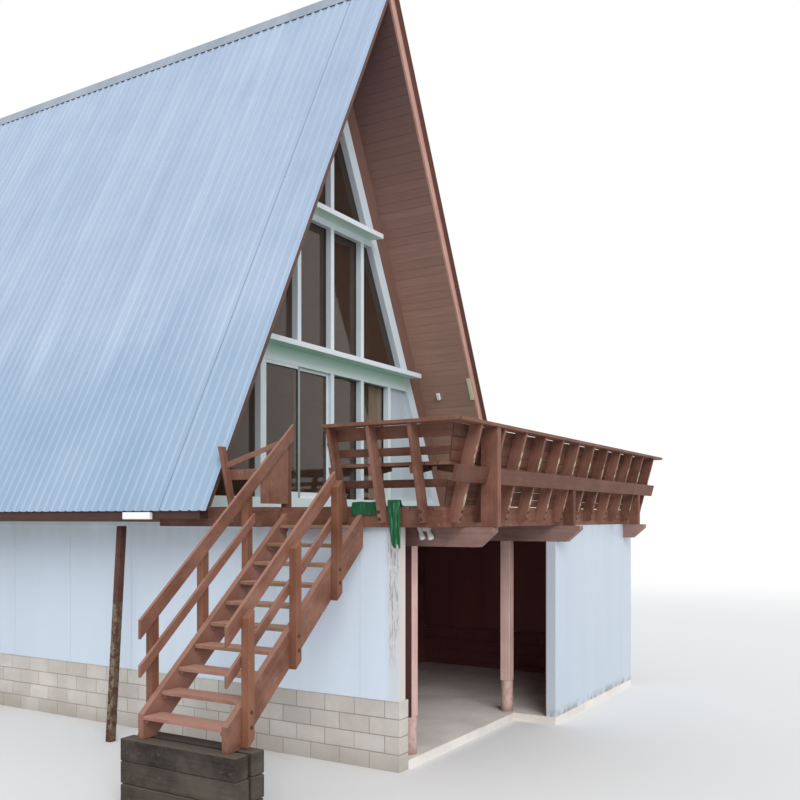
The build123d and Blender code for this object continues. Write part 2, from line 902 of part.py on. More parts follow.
with BuildPart() as stair_posts:
    for face, count in ((stair_left, left_stair_post_count), (stair_right - stair_post_size, right_stair_post_count)):
        for number in range(count):
            low_x = stair_foot_x + first_stair_post + number * stair_post_pitch
            high_x = low_x + stair_post_size
            top_offset = handrail_height - post_top_cover
            foot_offset = stringer_cover - stringer_drop
            low_foot = nosing_level(low_x) + foot_offset
            high_foot = nosing_level(high_x) + foot_offset
            if low_x > -rim_face:
                low_foot = deck_level
                high_foot = deck_level
            low_foot = max(low_foot, stair_foot_level)
            high_foot = max(high_foot, stair_foot_level)
            with BuildSketch(gable_plane(face)):
                with BuildLine():
                    Polyline(
                        (low_x, low_foot),
                        (low_x, nosing_level(low_x) + top_offset),
                        (high_x, nosing_level(high_x) + top_offset),
                        (high_x, high_foot),
                        close=True,
                    )
                make_face()
            extrude(amount=-stair_post_size)
stair_posts.part.label = "stair_posts"
export_step(stair_posts.part, "parts/stair_posts.step")

rail_foot_x = stair_foot_x
third_post_right = stair_foot_x + first_stair_post + 2 * stair_post_pitch + stair_post_size
handrail_ends = ((stair_left, newel_right), (stair_right + handrail_thickness, third_post_right))

with BuildPart() as stair_handrails:
    for face, high_x in handrail_ends:
        for top_offset, drop, end_x in ((handrail_height, handrail_drop, high_x), (midrail_height, midrail_drop, third_post_right)):
            with BuildSketch(gable_plane(face)):
                with BuildLine():
                    Polyline(
                        (rail_foot_x, nosing_level(rail_foot_x) + top_offset),
                        (end_x, nosing_level(end_x) + top_offset),
                        (end_x, nosing_level(end_x) + top_offset - drop),
                        (rail_foot_x, nosing_level(rail_foot_x) + top_offset - drop),
                        close=True,
                    )
                make_face()
            extrude(amount=handrail_thickness)
stair_handrails.part.label = "stair_handrails"
export_step(stair_handrails.part, "parts/stair_handrails.step")

newel_left = newel_right - stair_post_size
rail_underside = handrail_height - handrail_drop - rail_clearance

with BuildPart() as stair_side_panel:
    with BuildSketch(gable_plane(stair_left)):
        with BuildLine():
            Polyline(
                (side_panel_left, side_panel_foot),
                (side_panel_left, nosing_level(side_panel_left) + rail_underside),
                (newel_left, nosing_level(newel_left) + rail_underside),
                (newel_left, side_panel_foot),
                close=True,
            )
        make_face()
    extrude(amount=side_panel_thickness)
stair_side_panel.part.label = "stair_side_panel"
export_step(stair_side_panel.part, "parts/stair_side_panel.step")

# Short rail on the left wing: one leaning support, a low board and a raked brace up to the stair post


def short_reach(level):
    """How far the short support's outer edge stands out from the wing's rim board."""
    return outer_reach(level) - short_support_shift


short_face = short_support_y - support_thickness / 2
short_section = short_support_depth / lean_cos
short_foot_reach = short_reach(support_foot)
short_heel = support_foot + (short_section - short_foot_reach) / lean_tan
short_board = board_outline(short_board_level, short_board_height, board_thickness, short_support_shift + short_section)
brace_start = (-wing_edge - short_reach(short_brace_start) + short_section / 2, short_support_y, short_brace_start)
brace_end = (newel_left - short_brace_width / 2, stair_left + stair_post_size / 2, short_brace_end)
brace_run = [end - start for start, end in zip(brace_start, brace_end)]
brace_plane = Plane(origin=brace_start, x_dir=(-brace_run[1], brace_run[0], 0), z_dir=brace_run)

with BuildPart() as short_rail:
    with BuildSketch(gable_plane(short_face)):
        with BuildLine():
            Polyline(
                (-wing_edge, support_foot),
                (-wing_edge - short_foot_reach, support_foot),
                (-wing_edge - short_reach(short_support_top), short_support_top),
                (-wing_edge - short_reach(short_support_top) + short_section, short_support_top),
                (-wing_edge, short_heel),
                close=True,
            )
        make_face()
    extrude(amount=-support_thickness)
    with BuildSketch(gable_plane(left_wing_front)):
        with BuildLine():
            Polyline(*[(-wing_edge - out, level) for out, level in short_board], close=True)
        make_face()
    extrude(amount=left_wing_front - short_face - support_thickness)
    with BuildSketch(brace_plane):
        Rectangle(board_thickness, short_brace_width)
    extrude(amount=math.dist(brace_start, brace_end))
short_rail.part.label = "short_rail"
export_step(short_rail.part, "parts/short_rail.step")

# Crib of sleepers that carries the foot of the stair down to the ground

sleeper_pitch = sleeper_width + sleeper_gap

with BuildPart() as stair_sleepers:
    with BuildSketch():
        for number in range(sleeper_count):
            sleeper_x = stair_foot_x - sleeper_toe + sleeper_width / 2 + number * sleeper_pitch
            with Locations((sleeper_x, tread_y)):
                Rectangle(sleeper_width, sleeper_length)
    extrude(amount=stair_foot_level)
stair_sleepers.part.label = "stair_sleepers"
export_step(stair_sleepers.part, "parts/stair_sleepers.step")

# Cabin floor

floor_front = window_face
floor_length = basement_back - floor_front
floor_joist_count = int((floor_length - joist_thickness) / joist_spacing) + 1
floor_joist_lines = [floor_front + joist_thickness / 2 + n * joist_spacing for n in range(floor_joist_count)]

with BuildPart() as floor_joists:
    with BuildSketch(Plane.XY.offset(joist_underside)):
        for joist_y in floor_joist_lines:
            with Locations((0, joist_y)):
                Rectangle(2 * floor_half_width, joist_thickness)
    extrude(amount=joist_height)
floor_joists.part.label = "floor_joists"
export_step(floor_joists.part, "parts/floor_joists.step")

with BuildPart() as cabin_floor:
    with BuildSketch(Plane.XY.offset(joist_top)):
        with Locations((0, floor_front + floor_length / 2)):
            Rectangle(2 * floor_half_width, floor_length)
    extrude(amount=board_thickness)
cabin_floor.part.label = "cabin_floor"
export_step(cabin_floor.part, "parts/cabin_floor.step")

# Eaves: a beam under the foot of each slope, and raked props under the joist ends

with BuildPart() as eave_beams:
    with BuildSketch(gable_plane(panel_front)):
        with Locations((-floor_half_width - eave_beam_width / 2, foot_level - eave_beam_height / 2)):
            Rectangle(eave_beam_width, eave_beam_height)
    extrude(amount=-panel_length)
    mirror(about=Plane.YZ)
eave_beams.part.label = "eave_beams"
export_step(eave_beams.part, "parts/eave_beams.step")

prop_count = int((floor_joist_count - 2) / prop_bay_count) + 1

with BuildPart() as eave_props:
    for number in range(prop_count):
        prop_line = floor_joist_lines[1 + number * prop_bay_count]
        with BuildSketch(gable_plane(prop_line - prop_size / 2)):
            with BuildLine():
                Polyline(
                    (-prop_top - prop_size / 2, joist_underside),
                    (-prop_top + prop_size / 2, joist_underside),
                    (-prop_top - prop_rake + prop_size / 2, 0),
                    (-prop_top - prop_rake - prop_size / 2, 0),
                    close=True,
                )
            make_face()
        extrude(amount=-prop_size)
    mirror(about=Plane.YZ)
eave_props.part.label = "eave_props"
export_step(eave_props.part, "parts/eave_props.step")

# Roof: ribbed metal sheets on boarding, rafters, and a boarded soffit that is open at the verges

rib_count = int(roof_length / rib_pitch)
rib_lead = (roof_length - rib_count * rib_pitch) / 2
sheet_line = []
for number in range(rib_count):
    rib_middle = roof_front + rib_lead + (number + 0.5) * rib_pitch
    sheet_line.append((rib_middle - rib_base / 2, -rib_height))
    sheet_line.append((rib_middle - rib_top / 2, 0))
    sheet_line.append((rib_middle + rib_top / 2, 0))
    sheet_line.append((rib_middle + rib_base / 2, -rib_height))
sheet_plane = Plane(origin=(-eave_half_span, 0, eave_level), x_dir=(0, 1, 0), z_dir=(pitch_cos, 0, pitch_sin))
sheet_length = (eave_half_span - sheet_back * pitch_sin) / pitch_cos - sheet_ridge_gap

with BuildPart() as roof_sheets:
    with BuildSketch(sheet_plane):
        with BuildLine():
            Polyline(
                (roof_front, -sheet_back),
                (roof_front, -rib_height),
                *sheet_line,
                (roof_back, -rib_height),
                (roof_back, -sheet_back),
                close=True,
            )
        make_face()
    extrude(amount=sheet_length)
    mirror(about=Plane.YZ)
roof_sheets.part.label = "roof_sheets"
export_step(roof_sheets.part, "parts/roof_sheets.step")

with BuildPart() as roof_boarding:
    with BuildSketch(gable_plane(panel_front)):
        with BuildLine():
            Polyline(*layer_outline(sheet_back, sheathing_back, foot_level, ridge_gap), close=True)
        make_face()
    extrude(amount=-panel_length)
    mirror(about=Plane.YZ)
roof_boarding.part.label = "roof_boarding"
export_step(roof_boarding.part, "parts/roof_boarding.step")

rafter_count = int((panel_length - rafter_thickness) / rafter_spacing) + 1

with BuildPart() as rafters:
    for number in range(rafter_count):
        with BuildSketch(gable_plane(panel_front + number * rafter_spacing)):
            with BuildLine():
                Polyline(
                    *layer_outline(sheathing_back, rafter_back, foot_level, ridge_board_thickness / 2 + ridge_gap),
                    close=True,
                )
            make_face()
        extrude(amount=-rafter_thickness)
    mirror(about=Plane.YZ)
rafters.part.label = "rafters"
export_step(rafters.part, "parts/rafters.step")

ridge_board_top = slope_at_ridge(sheathing_back, ridge_board_thickness / 2)[1]

with BuildPart() as ridge_board:
    with BuildSketch(gable_plane(panel_front)):
        with Locations((0, ridge_board_top - ridge_board_height / 2)):
            Rectangle(ridge_board_thickness, ridge_board_height)
    extrude(amount=-panel_length)
ridge_board.part.label = "ridge_board"
export_step(ridge_board.part, "parts/ridge_board.step")

with BuildPart() as roof_soffits:
    with BuildSketch(gable_plane(panel_front)):
        with BuildLine():
            Polyline(*layer_outline(rafter_back, soffit_back, foot_level, ridge_gap), close=True)
        make_face()
    extrude(amount=-panel_length)
    mirror(about=Plane.YZ)
roof_soffits.part.label = "roof_soffits"
export_step(roof_soffits.part, "parts/roof_soffits.step")

with BuildPart() as barge_boards:
    for face in (barge_face, panel_back):
        with BuildSketch(gable_plane(face)):
            with BuildLine():
                Polyline(*layer_outline(sheet_back, sheet_back + barge_depth, eave_level, ridge_gap), close=True)
            make_face()
        extrude(amount=-barge_thickness)
    mirror(about=Plane.YZ)
barge_boards.part.label = "barge_boards"
export_step(barge_boards.part, "parts/barge_boards.step")

ridge_along = eave_half_span / pitch_cos
cap_foot_in = slope_point(ridge_along - ridge_cap_leg, 0)
cap_foot_out = slope_point(ridge_along - ridge_cap_leg, -sheet_gauge)

with BuildPart() as ridge_cap:
    with BuildSketch(gable_plane(roof_front)):
        with BuildLine():
            Polyline(
                cap_foot_out,
                slope_at_ridge(-sheet_gauge),
                (-cap_foot_out[0], cap_foot_out[1]),
                (-cap_foot_in[0], cap_foot_in[1]),
                slope_at_ridge(0),
                cap_foot_in,
                close=True,
            )
        make_face()
    extrude(amount=-roof_length)
ridge_cap.part.label = "ridge_cap"
export_step(ridge_cap.part, "parts/ridge_cap.step")

# Front window wall: brown bent under the soffit, white raked trims, sill, headers and mullions

bent_back = soffit_back + bent_depth
trim_back = bent_back + trim_width
sill_top = deck_level + sill_height
header_top = header_underside + header_height
upper_header_top = upper_header_underside + upper_header_height

with BuildPart() as gable_bents:
    with BuildSketch(gable_plane(window_face)):
        with BuildLine():
            Polyline(*layer_outline(soffit_back, bent_back, deck_level, ridge_gap), close=True)
        make_face()
    extrude(amount=-bent_thickness)
    mirror(about=Plane.YZ)
gable_bents.part.label = "gable_bents"
export_step(gable_bents.part, "parts/gable_bents.step")

with BuildPart() as raked_trims:
    with BuildSketch(gable_plane(window_face)):
        with BuildLine():
            Polyline(*layer_outline(bent_back, trim_back, sill_top, mullion_width / 2), close=True)
        make_face()
    extrude(amount=-frame_depth)
    mirror(about=Plane.YZ)
raked_trims.part.label = "raked_trims"
export_step(raked_trims.part, "parts/raked_trims.step")


def span_outline(bottom, top, depth):
    """Level piece of the gable between two heights, cut to the slopes at a depth."""
    low = slope_at_level(bottom, depth)[0]
    high = slope_at_level(top, depth)[0]
    return [(low, bottom), (-low, bottom), (-high, top), (high, top)]


with BuildPart() as sill_and_headers:
    with BuildSketch(gable_plane(window_face)):
        with BuildLine():
            Polyline(*span_outline(deck_level, sill_top, bent_back), close=True)
        make_face()
        with BuildLine():
            Polyline(*span_outline(header_underside, header_top, trim_back), close=True)
        make_face()
        with BuildLine():
            Polyline(*span_outline(upper_header_underside, upper_header_top, trim_back), close=True)
        make_face()
    extrude(amount=-frame_depth)
    with BuildSketch(gable_plane(glass_face)):
        with Locations(((curtain_left + curtain_right) / 2, curtain_rail_level + curtain_rail_height / 2)):
            Rectangle(curtain_right - curtain_left, curtain_rail_height)
    extrude(amount=-curtain_rail_depth)
sill_and_headers.part.label = "sill_and_headers"
export_step(sill_and_headers.part, "parts/sill_and_headers.step")

half_mullion = mullion_width / 2
lower_mullions = (-2 * mullion_spacing, 0, mullion_spacing, 2 * mullion_spacing)
upper_mullions = (-mullion_spacing, 0, mullion_spacing)

trim_foot = slope_at_level(sill_top, trim_back)

with BuildPart() as mullions:
    with BuildSketch(gable_plane(window_face)):
        for x in lower_mullions:
            with Locations((x, (sill_top + header_underside) / 2)):
                Rectangle(mullion_width, header_underside - sill_top)
        for x in upper_mullions:
            with Locations((x, (header_top + upper_header_underside) / 2)):
                Rectangle(mullion_width, upper_header_underside - header_top)
    extrude(amount=-frame_depth)
    for side in (-1, 1):
        split(bisect_by=Plane(origin=(side * trim_foot[0], 0, trim_foot[1]), z_dir=(side * pitch_sin, 0, -pitch_cos)))
    with BuildSketch(gable_plane(window_face)):
        with BuildLine():
            Polyline(
                (-half_mullion, upper_header_top),
                (half_mullion, upper_header_top),
                (half_mullion, slope_at_ridge(bent_back, half_mullion)[1]),
                slope_at_ridge(bent_back),
                slope_at_ridge(bent_back, half_mullion),
                close=True,
            )
        make_face()
    extrude(amount=-frame_depth)
mullions.part.label = "mullions"
export_step(mullions.part, "parts/mullions.step")

lower_visor_top = header_top + visor_rise
upper_visor_top = upper_header_top + visor_rise
lower_visor_half = lower_visor_overrun - slope_at_level(lower_visor_top, trim_back)[0]
upper_visor_half = upper_visor_overrun - slope_at_level(upper_visor_top, trim_back)[0]

with BuildPart() as visors:
    for top, half in ((lower_visor_top, lower_visor_half), (upper_visor_top, upper_visor_half)):
        with BuildSketch(Plane.YZ.offset(-half)):
            with BuildLine():
                Polyline(
                    (window_face, top),
                    (window_face - visor_projection, top - visor_rise),
                    (window_face - visor_projection, top - visor_rise - visor_thickness),
                    (window_face, top - visor_thickness),
                    close=True,
                )
            make_face()
        extrude(amount=2 * half)
visors.part.label = "visors"
export_step(visors.part, "parts/visors.step")

# Sliding door in the left half of the lower storey: a fixed and a sliding leaf on two tracks

door_left = -2 * mullion_spacing + half_mullion
door_right = -half_mullion
meeting_left = -mullion_spacing - door_stile / 2
meeting_right = -mullion_spacing + door_stile / 2
leaf_face = window_face + door_track_inset
leaves = (
    (door_left, meeting_right, leaf_face),
    (meeting_left, door_right, leaf_face + door_depth + track_clearance),
)
light_bottom = sill_top + door_bottom_rail
light_top = header_underside - door_stile

with BuildPart() as sliding_door:
    for left, right, face in leaves:
        with BuildSketch(gable_plane(face)):
            with Locations(((left + right) / 2, (sill_top + header_underside) / 2)):
                Rectangle(right - left, header_underside - sill_top)
            with Locations(((left + right) / 2, (light_bottom + light_top) / 2)):
                Rectangle(right - left - 2 * door_stile, light_top - light_bottom, mode=Mode.SUBTRACT)
        extrude(amount=-door_depth)
sliding_door.part.label = "sliding_door"
export_step(sliding_door.part, "parts/sliding_door.step")

glass_back = bent_back + glass_cover
lower_glass_top = header_underside + pane_lap
upper_glass_bottom = header_top - pane_lap
upper_glass_top = upper_header_underside + pane_lap
top_glass_bottom = upper_header_top - pane_lap
lower_glass_bottom = sill_top - pane_lap
side_pane_right = -2 * mullion_spacing

with BuildPart() as front_glass:
    for left, right, face in leaves:
        with BuildSketch(gable_plane(face + (door_depth - glass_thickness) / 2)):
            with Locations(((left + right) / 2, (light_bottom + light_top) / 2)):
                Rectangle(right - left - 2 * door_stile, light_top - light_bottom)
        extrude(amount=-glass_thickness)
    with BuildSketch(gable_plane(glass_face)):
        with BuildLine():
            Polyline(
                slope_at_level(lower_glass_bottom, glass_back),
                (side_pane_right, lower_glass_bottom),
                (side_pane_right, lower_glass_top),
                slope_at_level(lower_glass_top, glass_back),
                close=True,
            )
        make_face()
        with Locations((mullion_spacing, (lower_glass_bottom + lower_glass_top) / 2)):
            Rectangle(2 * mullion_spacing, lower_glass_top - lower_glass_bottom)
        with BuildLine():
            Polyline(*span_outline(upper_glass_bottom, upper_glass_top, glass_back), close=True)
        make_face()
        with BuildLine():
            Polyline(
                slope_at_level(top_glass_bottom, glass_back),
                (-slope_at_level(top_glass_bottom, glass_back)[0], top_glass_bottom),
                slope_at_ridge(glass_back),
                close=True,
            )
        make_face()
    extrude(amount=-glass_thickness)
front_glass.part.label = "front_glass"
export_step(front_glass.part, "parts/front_glass.step")

with BuildPart() as end_panel:
    with BuildSketch(gable_plane(end_panel_face)):
        with BuildLine():
            Polyline(
                (2 * mullion_spacing + half_mullion, sill_top),
                (-slope_at_level(sill_top, trim_back)[0], sill_top),
                (-slope_at_level(header_underside, trim_back)[0], header_underside),
                (2 * mullion_spacing + half_mullion, header_underside),
                close=True,
            )
        make_face()
    extrude(amount=-end_panel_thickness)
end_panel.part.label = "end_panel"
export_step(end_panel.part, "parts/end_panel.step")

curtain_top = curtain_rail_level - curtain_gap
curtain_foot = sill_top - curtain_foot_drop

with BuildPart() as curtain:
    with BuildSketch(gable_plane(glass_face + curtain_rail_depth - 2 * curtain_thickness)):
        with Locations(((curtain_left + curtain_right) / 2, (curtain_foot + curtain_top) / 2)):
            Rectangle(curtain_right - curtain_left, curtain_top - curtain_foot)
    extrude(amount=-curtain_thickness)
curtain.part.label = "curtain"
export_step(curtain.part, "parts/curtain.step")

# Rear gable: a boarded wall with two windows

rear_wall_face = basement_back - stud_wall_thickness
rear_windows = (
    (rear_window_width, rear_window_height, deck_level + rear_window_sill),
    (rear_upper_window_width, rear_upper_window_height, deck_level + rear_upper_window_level),
)

with BuildPart() as rear_gable_wall:
    with BuildSketch(gable_plane(rear_wall_face)):
        with BuildLine():
            Polyline(
                slope_at_level(deck_level, soffit_back),
                (-slope_at_level(deck_level, soffit_back)[0], deck_level),
                slope_at_ridge(soffit_back),
                close=True,
            )
        make_face()
        for width, height, level in rear_windows:
            with Locations((0, level + height / 2)):
                Rectangle(width, height, mode=Mode.SUBTRACT)
    extrude(amount=-stud_wall_thickness)
rear_gable_wall.part.label = "rear_gable_wall"
export_step(rear_gable_wall.part, "parts/rear_gable_wall.step")

with BuildPart() as rear_window_frames:
    with BuildSketch(gable_plane(basement_back - frame_depth)):
        for width, height, level in rear_windows:
            with Locations((0, level + height / 2)):
                Rectangle(width, height)
                Rectangle(width - 2 * rear_frame_width, height - 2 * rear_frame_width, mode=Mode.SUBTRACT)
    extrude(amount=-frame_depth - rear_frame_projection)
rear_window_frames.part.label = "rear_window_frames"
export_step(rear_window_frames.part, "parts/rear_window_frames.step")

with BuildPart() as rear_glass:
    with BuildSketch(gable_plane(basement_back - frame_depth / 2)):
        for width, height, level in rear_windows:
            with Locations((0, level + height / 2)):
                Rectangle(width - 2 * rear_frame_width, height - 2 * rear_frame_width)
    extrude(amount=-glass_thickness)
rear_glass.part.label = "rear_glass"
export_step(rear_glass.part, "parts/rear_glass.step")

# Small fittings: twin floodlight on the left beam, white box on the left eave beam

lamp_face = beam_left_x - beam_width / 2

with BuildPart() as floodlight:
    with BuildSketch(Plane.YZ.offset(lamp_face - lamp_plate_thickness)):
        with Locations((lamp_y, lamp_level)):
            Rectangle(lamp_plate_size, lamp_plate_size / 2)
    extrude(amount=lamp_plate_thickness)
    for side in (-1, 1):
        splay = math.radians(lamp_splay)
        head_x = lamp_face - lamp_plate_thickness - lamp_head_radius / 2 + lamp_root
        head_start = (head_x, lamp_y + side * lamp_head_radius / 2, lamp_level)
        head_axis = (-math.sin(splay), side * math.sin(splay), -math.cos(splay))
        with BuildSketch(Plane(origin=head_start, z_dir=head_axis)):
            Circle(lamp_head_radius / 2)
        extrude(amount=lamp_head_length, taper=-lamp_taper)
floodlight.part.label = "floodlight"
export_step(floodlight.part, "parts/floodlight.step")

with BuildPart() as eave_box:
    with BuildSketch(Plane.XY.offset(eave_level - sheet_back - utility_box_height)):
        with Locations((-floor_half_width - eave_beam_width - utility_box_depth / 2, utility_box_y)):
            Rectangle(utility_box_depth, utility_box_length)
    extrude(amount=utility_box_height)
eave_box.part.label = "eave_box"
export_step(eave_box.part, "parts/eave_box.step")
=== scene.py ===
import bmesh
import bpy
import math
import numpy as np
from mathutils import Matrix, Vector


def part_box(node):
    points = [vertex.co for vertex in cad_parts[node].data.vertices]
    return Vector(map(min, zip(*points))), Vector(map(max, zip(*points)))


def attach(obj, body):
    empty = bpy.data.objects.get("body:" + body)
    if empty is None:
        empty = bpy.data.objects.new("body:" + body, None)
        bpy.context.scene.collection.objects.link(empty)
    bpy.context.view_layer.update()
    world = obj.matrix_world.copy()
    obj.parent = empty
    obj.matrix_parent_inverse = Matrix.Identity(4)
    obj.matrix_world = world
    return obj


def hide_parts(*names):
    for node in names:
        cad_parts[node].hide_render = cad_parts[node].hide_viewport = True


# An A-frame cabin with a ribbed metal roof, on a half-open basement, with a raised deck and an outside stair.
# Metres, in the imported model's frame: X across the gable, Y from the deck to the rear, Z up from the ground.

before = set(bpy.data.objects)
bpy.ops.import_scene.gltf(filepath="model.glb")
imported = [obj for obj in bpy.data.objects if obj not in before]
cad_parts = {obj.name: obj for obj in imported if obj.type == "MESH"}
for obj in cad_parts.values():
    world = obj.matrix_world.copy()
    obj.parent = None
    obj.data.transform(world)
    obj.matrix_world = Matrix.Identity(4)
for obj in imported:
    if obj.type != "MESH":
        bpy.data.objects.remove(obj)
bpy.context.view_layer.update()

# Camera: it stands at the eye height of a person on the higher ground in front of the stair's foot, and looks
# level along the gable's diagonal, so all upright lines stay parallel.

camera_data = bpy.data.cameras.new("eye_level_camera")
camera_data.lens = 40.73
camera_data.sensor_width = 36
camera_data.shift_x = 0.0084
camera_data.shift_y = 0.1474
camera_data.clip_end = 400
camera = bpy.data.objects.new("eye_level_camera", camera_data)
camera.location = (-11.752, -8.357, 2.80)
camera.rotation_euler = (math.radians(90), 0, math.radians(-58.58))
bpy.context.scene.collection.objects.link(camera)
bpy.context.scene.camera = camera
bpy.context.scene.view_settings.view_transform = "Standard"

# Studio: a pale floor that fades into a white surround, an even white sky, and one wide soft lamp from the
# side of the stair, as under a bright overcast sky.


def colour(red, green, blue):
    """Linear colour of three display numbers from 0 to 255: each share of 255 raised to the power 2.2."""
    return (*((part / 255) ** 2.2 for part in (red, green, blue)), 1)


def add(tree, kind, sockets=None, **settings):
    """Adds a shader node. Each socket gets a number, or a link where its value is a socket."""
    node = tree.nodes.new("ShaderNode" + kind)
    for name, value in settings.items():
        setattr(node, name, value)
    for name, value in (sockets or {}).items():
        if isinstance(value, bpy.types.NodeSocket):
            tree.links.new(value, node.inputs[name])
        else:
            node.inputs[name].default_value = value
    return node


def calculate(operation, first, second=0.0):
    """The result of one sum on two values, of which at least one is a socket."""
    tree = (first if isinstance(first, bpy.types.NodeSocket) else second).id_data
    return add(tree, "Math", {0: first, 1: second}, operation=operation).outputs[0]


def times(first, *others):
    """The product of two or more numbers or sockets. Of masks, it is the part that all of them cover."""
    for other in others:
        first = calculate("MULTIPLY", first, other)
    return first


def between(value, low, high):
    """Rises smoothly from nought to one as a value goes from low to high. Low may be above high."""
    ends = {"Value": value, "From Min": low, "From Max": high}
    return add(value.id_data, "MapRange", ends, interpolation_type="SMOOTHSTEP").outputs["Result"]


def new_material(name):
    """A new material, and the socket that says where each point lies, in metres."""
    material = bpy.data.materials.new(name)
    material.use_nodes = True
    tree = material.node_tree
    tree.nodes.clear()
    return material, add(tree, "TexCoord").outputs["Object"]


def seen_directly(tree):
    """One for rays that come from the eye, from gloss or through glass, nought for light on things."""
    path = add(tree, "LightPath").outputs
    eye = calculate("MAXIMUM", path["Is Camera Ray"], path["Is Glossy Ray"])
    return calculate("MAXIMUM", eye, path["Is Transmission Ray"])


def mixed_shader(share, first, second):
    """A blend of two shaders by a share from nought to one."""
    return add(share.id_data, "MixShader", {0: share, 1: first.outputs[0], 2: second.outputs[0]}).outputs[0]


def mesh_object(name, points, faces):
    """An object at the origin with the given points and faces."""
    mesh = bpy.data.meshes.new(name)
    mesh.from_pydata(np.asarray(points, float).tolist(), [], [list(map(int, face)) for face in faces])
    mesh.update()
    made = bpy.data.objects.new(name, mesh)
    bpy.context.scene.collection.objects.link(made)
    return made


floor_reach = 150
floor_corners = [(x * floor_reach, y * floor_reach, 0) for x, y in ((-1, -1), (1, -1), (1, 1), (-1, 1))]
studio_floor = mesh_object("studio_floor", floor_corners, [(0, 1, 2, 3)])
floor_material, place = new_material("pale_floor")
tree = place.id_data
distance = add(tree, "VectorMath", {0: place}, operation="LENGTH").outputs["Value"]
hidden = times(between(distance, 13.0, 30.0), seen_directly(tree))
ground = add(tree, "BsdfDiffuse", {"Color": colour(232, 232, 232)})
surround = add(tree, "Emission", {"Color": (1, 1, 1, 1), "Strength": 1.0})
add(tree, "OutputMaterial", {"Surface": mixed_shader(hidden, ground, surround)})
studio_floor.data.materials.append(floor_material)

world = bpy.data.worlds.new("overcast_sky")
bpy.context.scene.world = world
world.use_nodes = True
tree = world.node_tree
tree.nodes.clear()
sky = add(tree, "Background", {"Color": (0.95, 0.975, 1.0, 1), "Strength": 0.82})
white = add(tree, "Background", {"Color": (1, 1, 1, 1), "Strength": 1.0})
add(tree, "OutputWorld", {"Surface": mixed_shader(seen_directly(tree), sky, white)})

lamp_data = bpy.data.lights.new("soft_sun", "SUN")
lamp_data.energy = 1.45
lamp_data.angle = math.radians(35)
lamp_data.color = (1.0, 0.985, 0.96)
soft_sun = bpy.data.objects.new("soft_sun", lamp_data)
soft_sun.rotation_euler = (math.radians(56.6), 0, math.radians(-44.0))
bpy.context.scene.collection.objects.link(soft_sun)

# Basement: a poured floor slab, four courses of grey blocks laid in half bond, and framed walls of painted
# plywood above them. The block faces stand a little proud of the mortar.


def effect_group(name, inputs, outputs):
    """A node group from named inputs (kind and default) and outputs. Gives its tree, inputs and outputs."""
    group = bpy.data.node_groups.new(name, "ShaderNodeTree")
    for socket_name, (kind, value) in inputs.items():
        socket = group.interface.new_socket(socket_name, in_out="INPUT", socket_type="NodeSocket" + kind)
        if value is not None:
            socket.default_value = value
    for socket_name, kind in outputs.items():
        group.interface.new_socket(socket_name, in_out="OUTPUT", socket_type="NodeSocket" + kind)
    return group, group.nodes.new("NodeGroupInput").outputs, group.nodes.new("NodeGroupOutput").inputs


patches, given, result = effect_group(
    "weathered_patches",
    {"Place": ("Vector", None), "Size": ("Float", 0.3), "Share": ("Float", 0.5), "Softness": ("Float", 0.05)},
    {"Mask": "Float"},
)
cloud = add(patches, "TexNoise", {
    "Vector": given["Place"], "Scale": calculate("DIVIDE", 1.0, given["Size"]),
    "Detail": 7.0, "Roughness": 0.62,
})
edge = add(patches, "MapRange", {
    "Value": cloud.outputs["Fac"],
    "From Min": calculate("SUBTRACT", given["Share"], given["Softness"]),
    "From Max": calculate("ADD", given["Share"], given["Softness"]),
})
patches.links.new(edge.outputs["Result"], result["Mask"])


def patchy(place, size, share, softness):
    """Soft-edged patches of about a size, as a mask. The lower the share, the more of them."""
    sockets = {"Place": place, "Size": size, "Share": share, "Softness": softness}
    return add(place.id_data, "Group", sockets, node_tree=patches).outputs["Mask"]


def stretched(place, scale):
    """The place multiplied along X, Y and Z, which draws a pattern out along the axes with small numbers."""
    return add(place.id_data, "VectorMath", {0: place, 1: scale}, operation="MULTIPLY").outputs[0]


def noise(place, scale, detail=2.0, roughness=0.5, stretch=None):
    """Cloudy noise from nought to one, with so many clouds a metre, drawn out where a stretch is given."""
    if stretch:
        place = stretched(place, stretch)
    sockets = {"Vector": place, "Scale": scale, "Detail": detail, "Roughness": roughness}
    return add(place.id_data, "TexNoise", sockets).outputs["Fac"]


def blend(share, first, second, strength=None):
    """A colour between two, by a share from nought to one, times a strength where one is given. Colours are
    sockets or three display numbers."""
    if strength is not None:
        share = times(share, strength)
    first, second = (colour(*tone) if isinstance(tone, tuple) else tone for tone in (first, second))
    return add(share.id_data, "Mix", {0: share, 6: first, 7: second}, data_type="RGBA").outputs[2]


def axes_of(vector):
    """The X, Y and Z of a place or a direction."""
    return tuple(add(vector.id_data, "SeparateXYZ", {"Vector": vector}).outputs)


def below(value, limit):
    """One where a value is under a limit."""
    return calculate("LESS_THAN", value, limit)


def above(value, limit):
    """One where a value is over a limit."""
    return calculate("GREATER_THAN", value, limit)


def unsigned(value):
    """A value without its sign."""
    return calculate("ABSOLUTE", value)


def coat(base, rough, height, relief, **plain):
    """A shader with a bump of relief metres from a height pattern. Plain values are given by name."""
    bump = add(base.id_data, "Bump", {"Height": height, "Strength": 1.0, "Distance": relief})
    sockets = {"Base Color": base, "Roughness": rough, "Normal": bump.outputs["Normal"]}
    sockets.update({name.replace("_", " "): value for name, value in plain.items()})
    return add(base.id_data, "BsdfPrincipled", sockets)


def surface(*values, **plain):
    """Makes a coat of these values the material's surface."""
    shader = coat(*values, **plain)
    add(shader.id_data, "OutputMaterial", {"Surface": shader.outputs[0]})


def finish_node(node, material):
    """Gives a kept CAD node its material."""
    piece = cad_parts[node]
    piece.data.materials.clear()
    piece.data.materials.append(material)


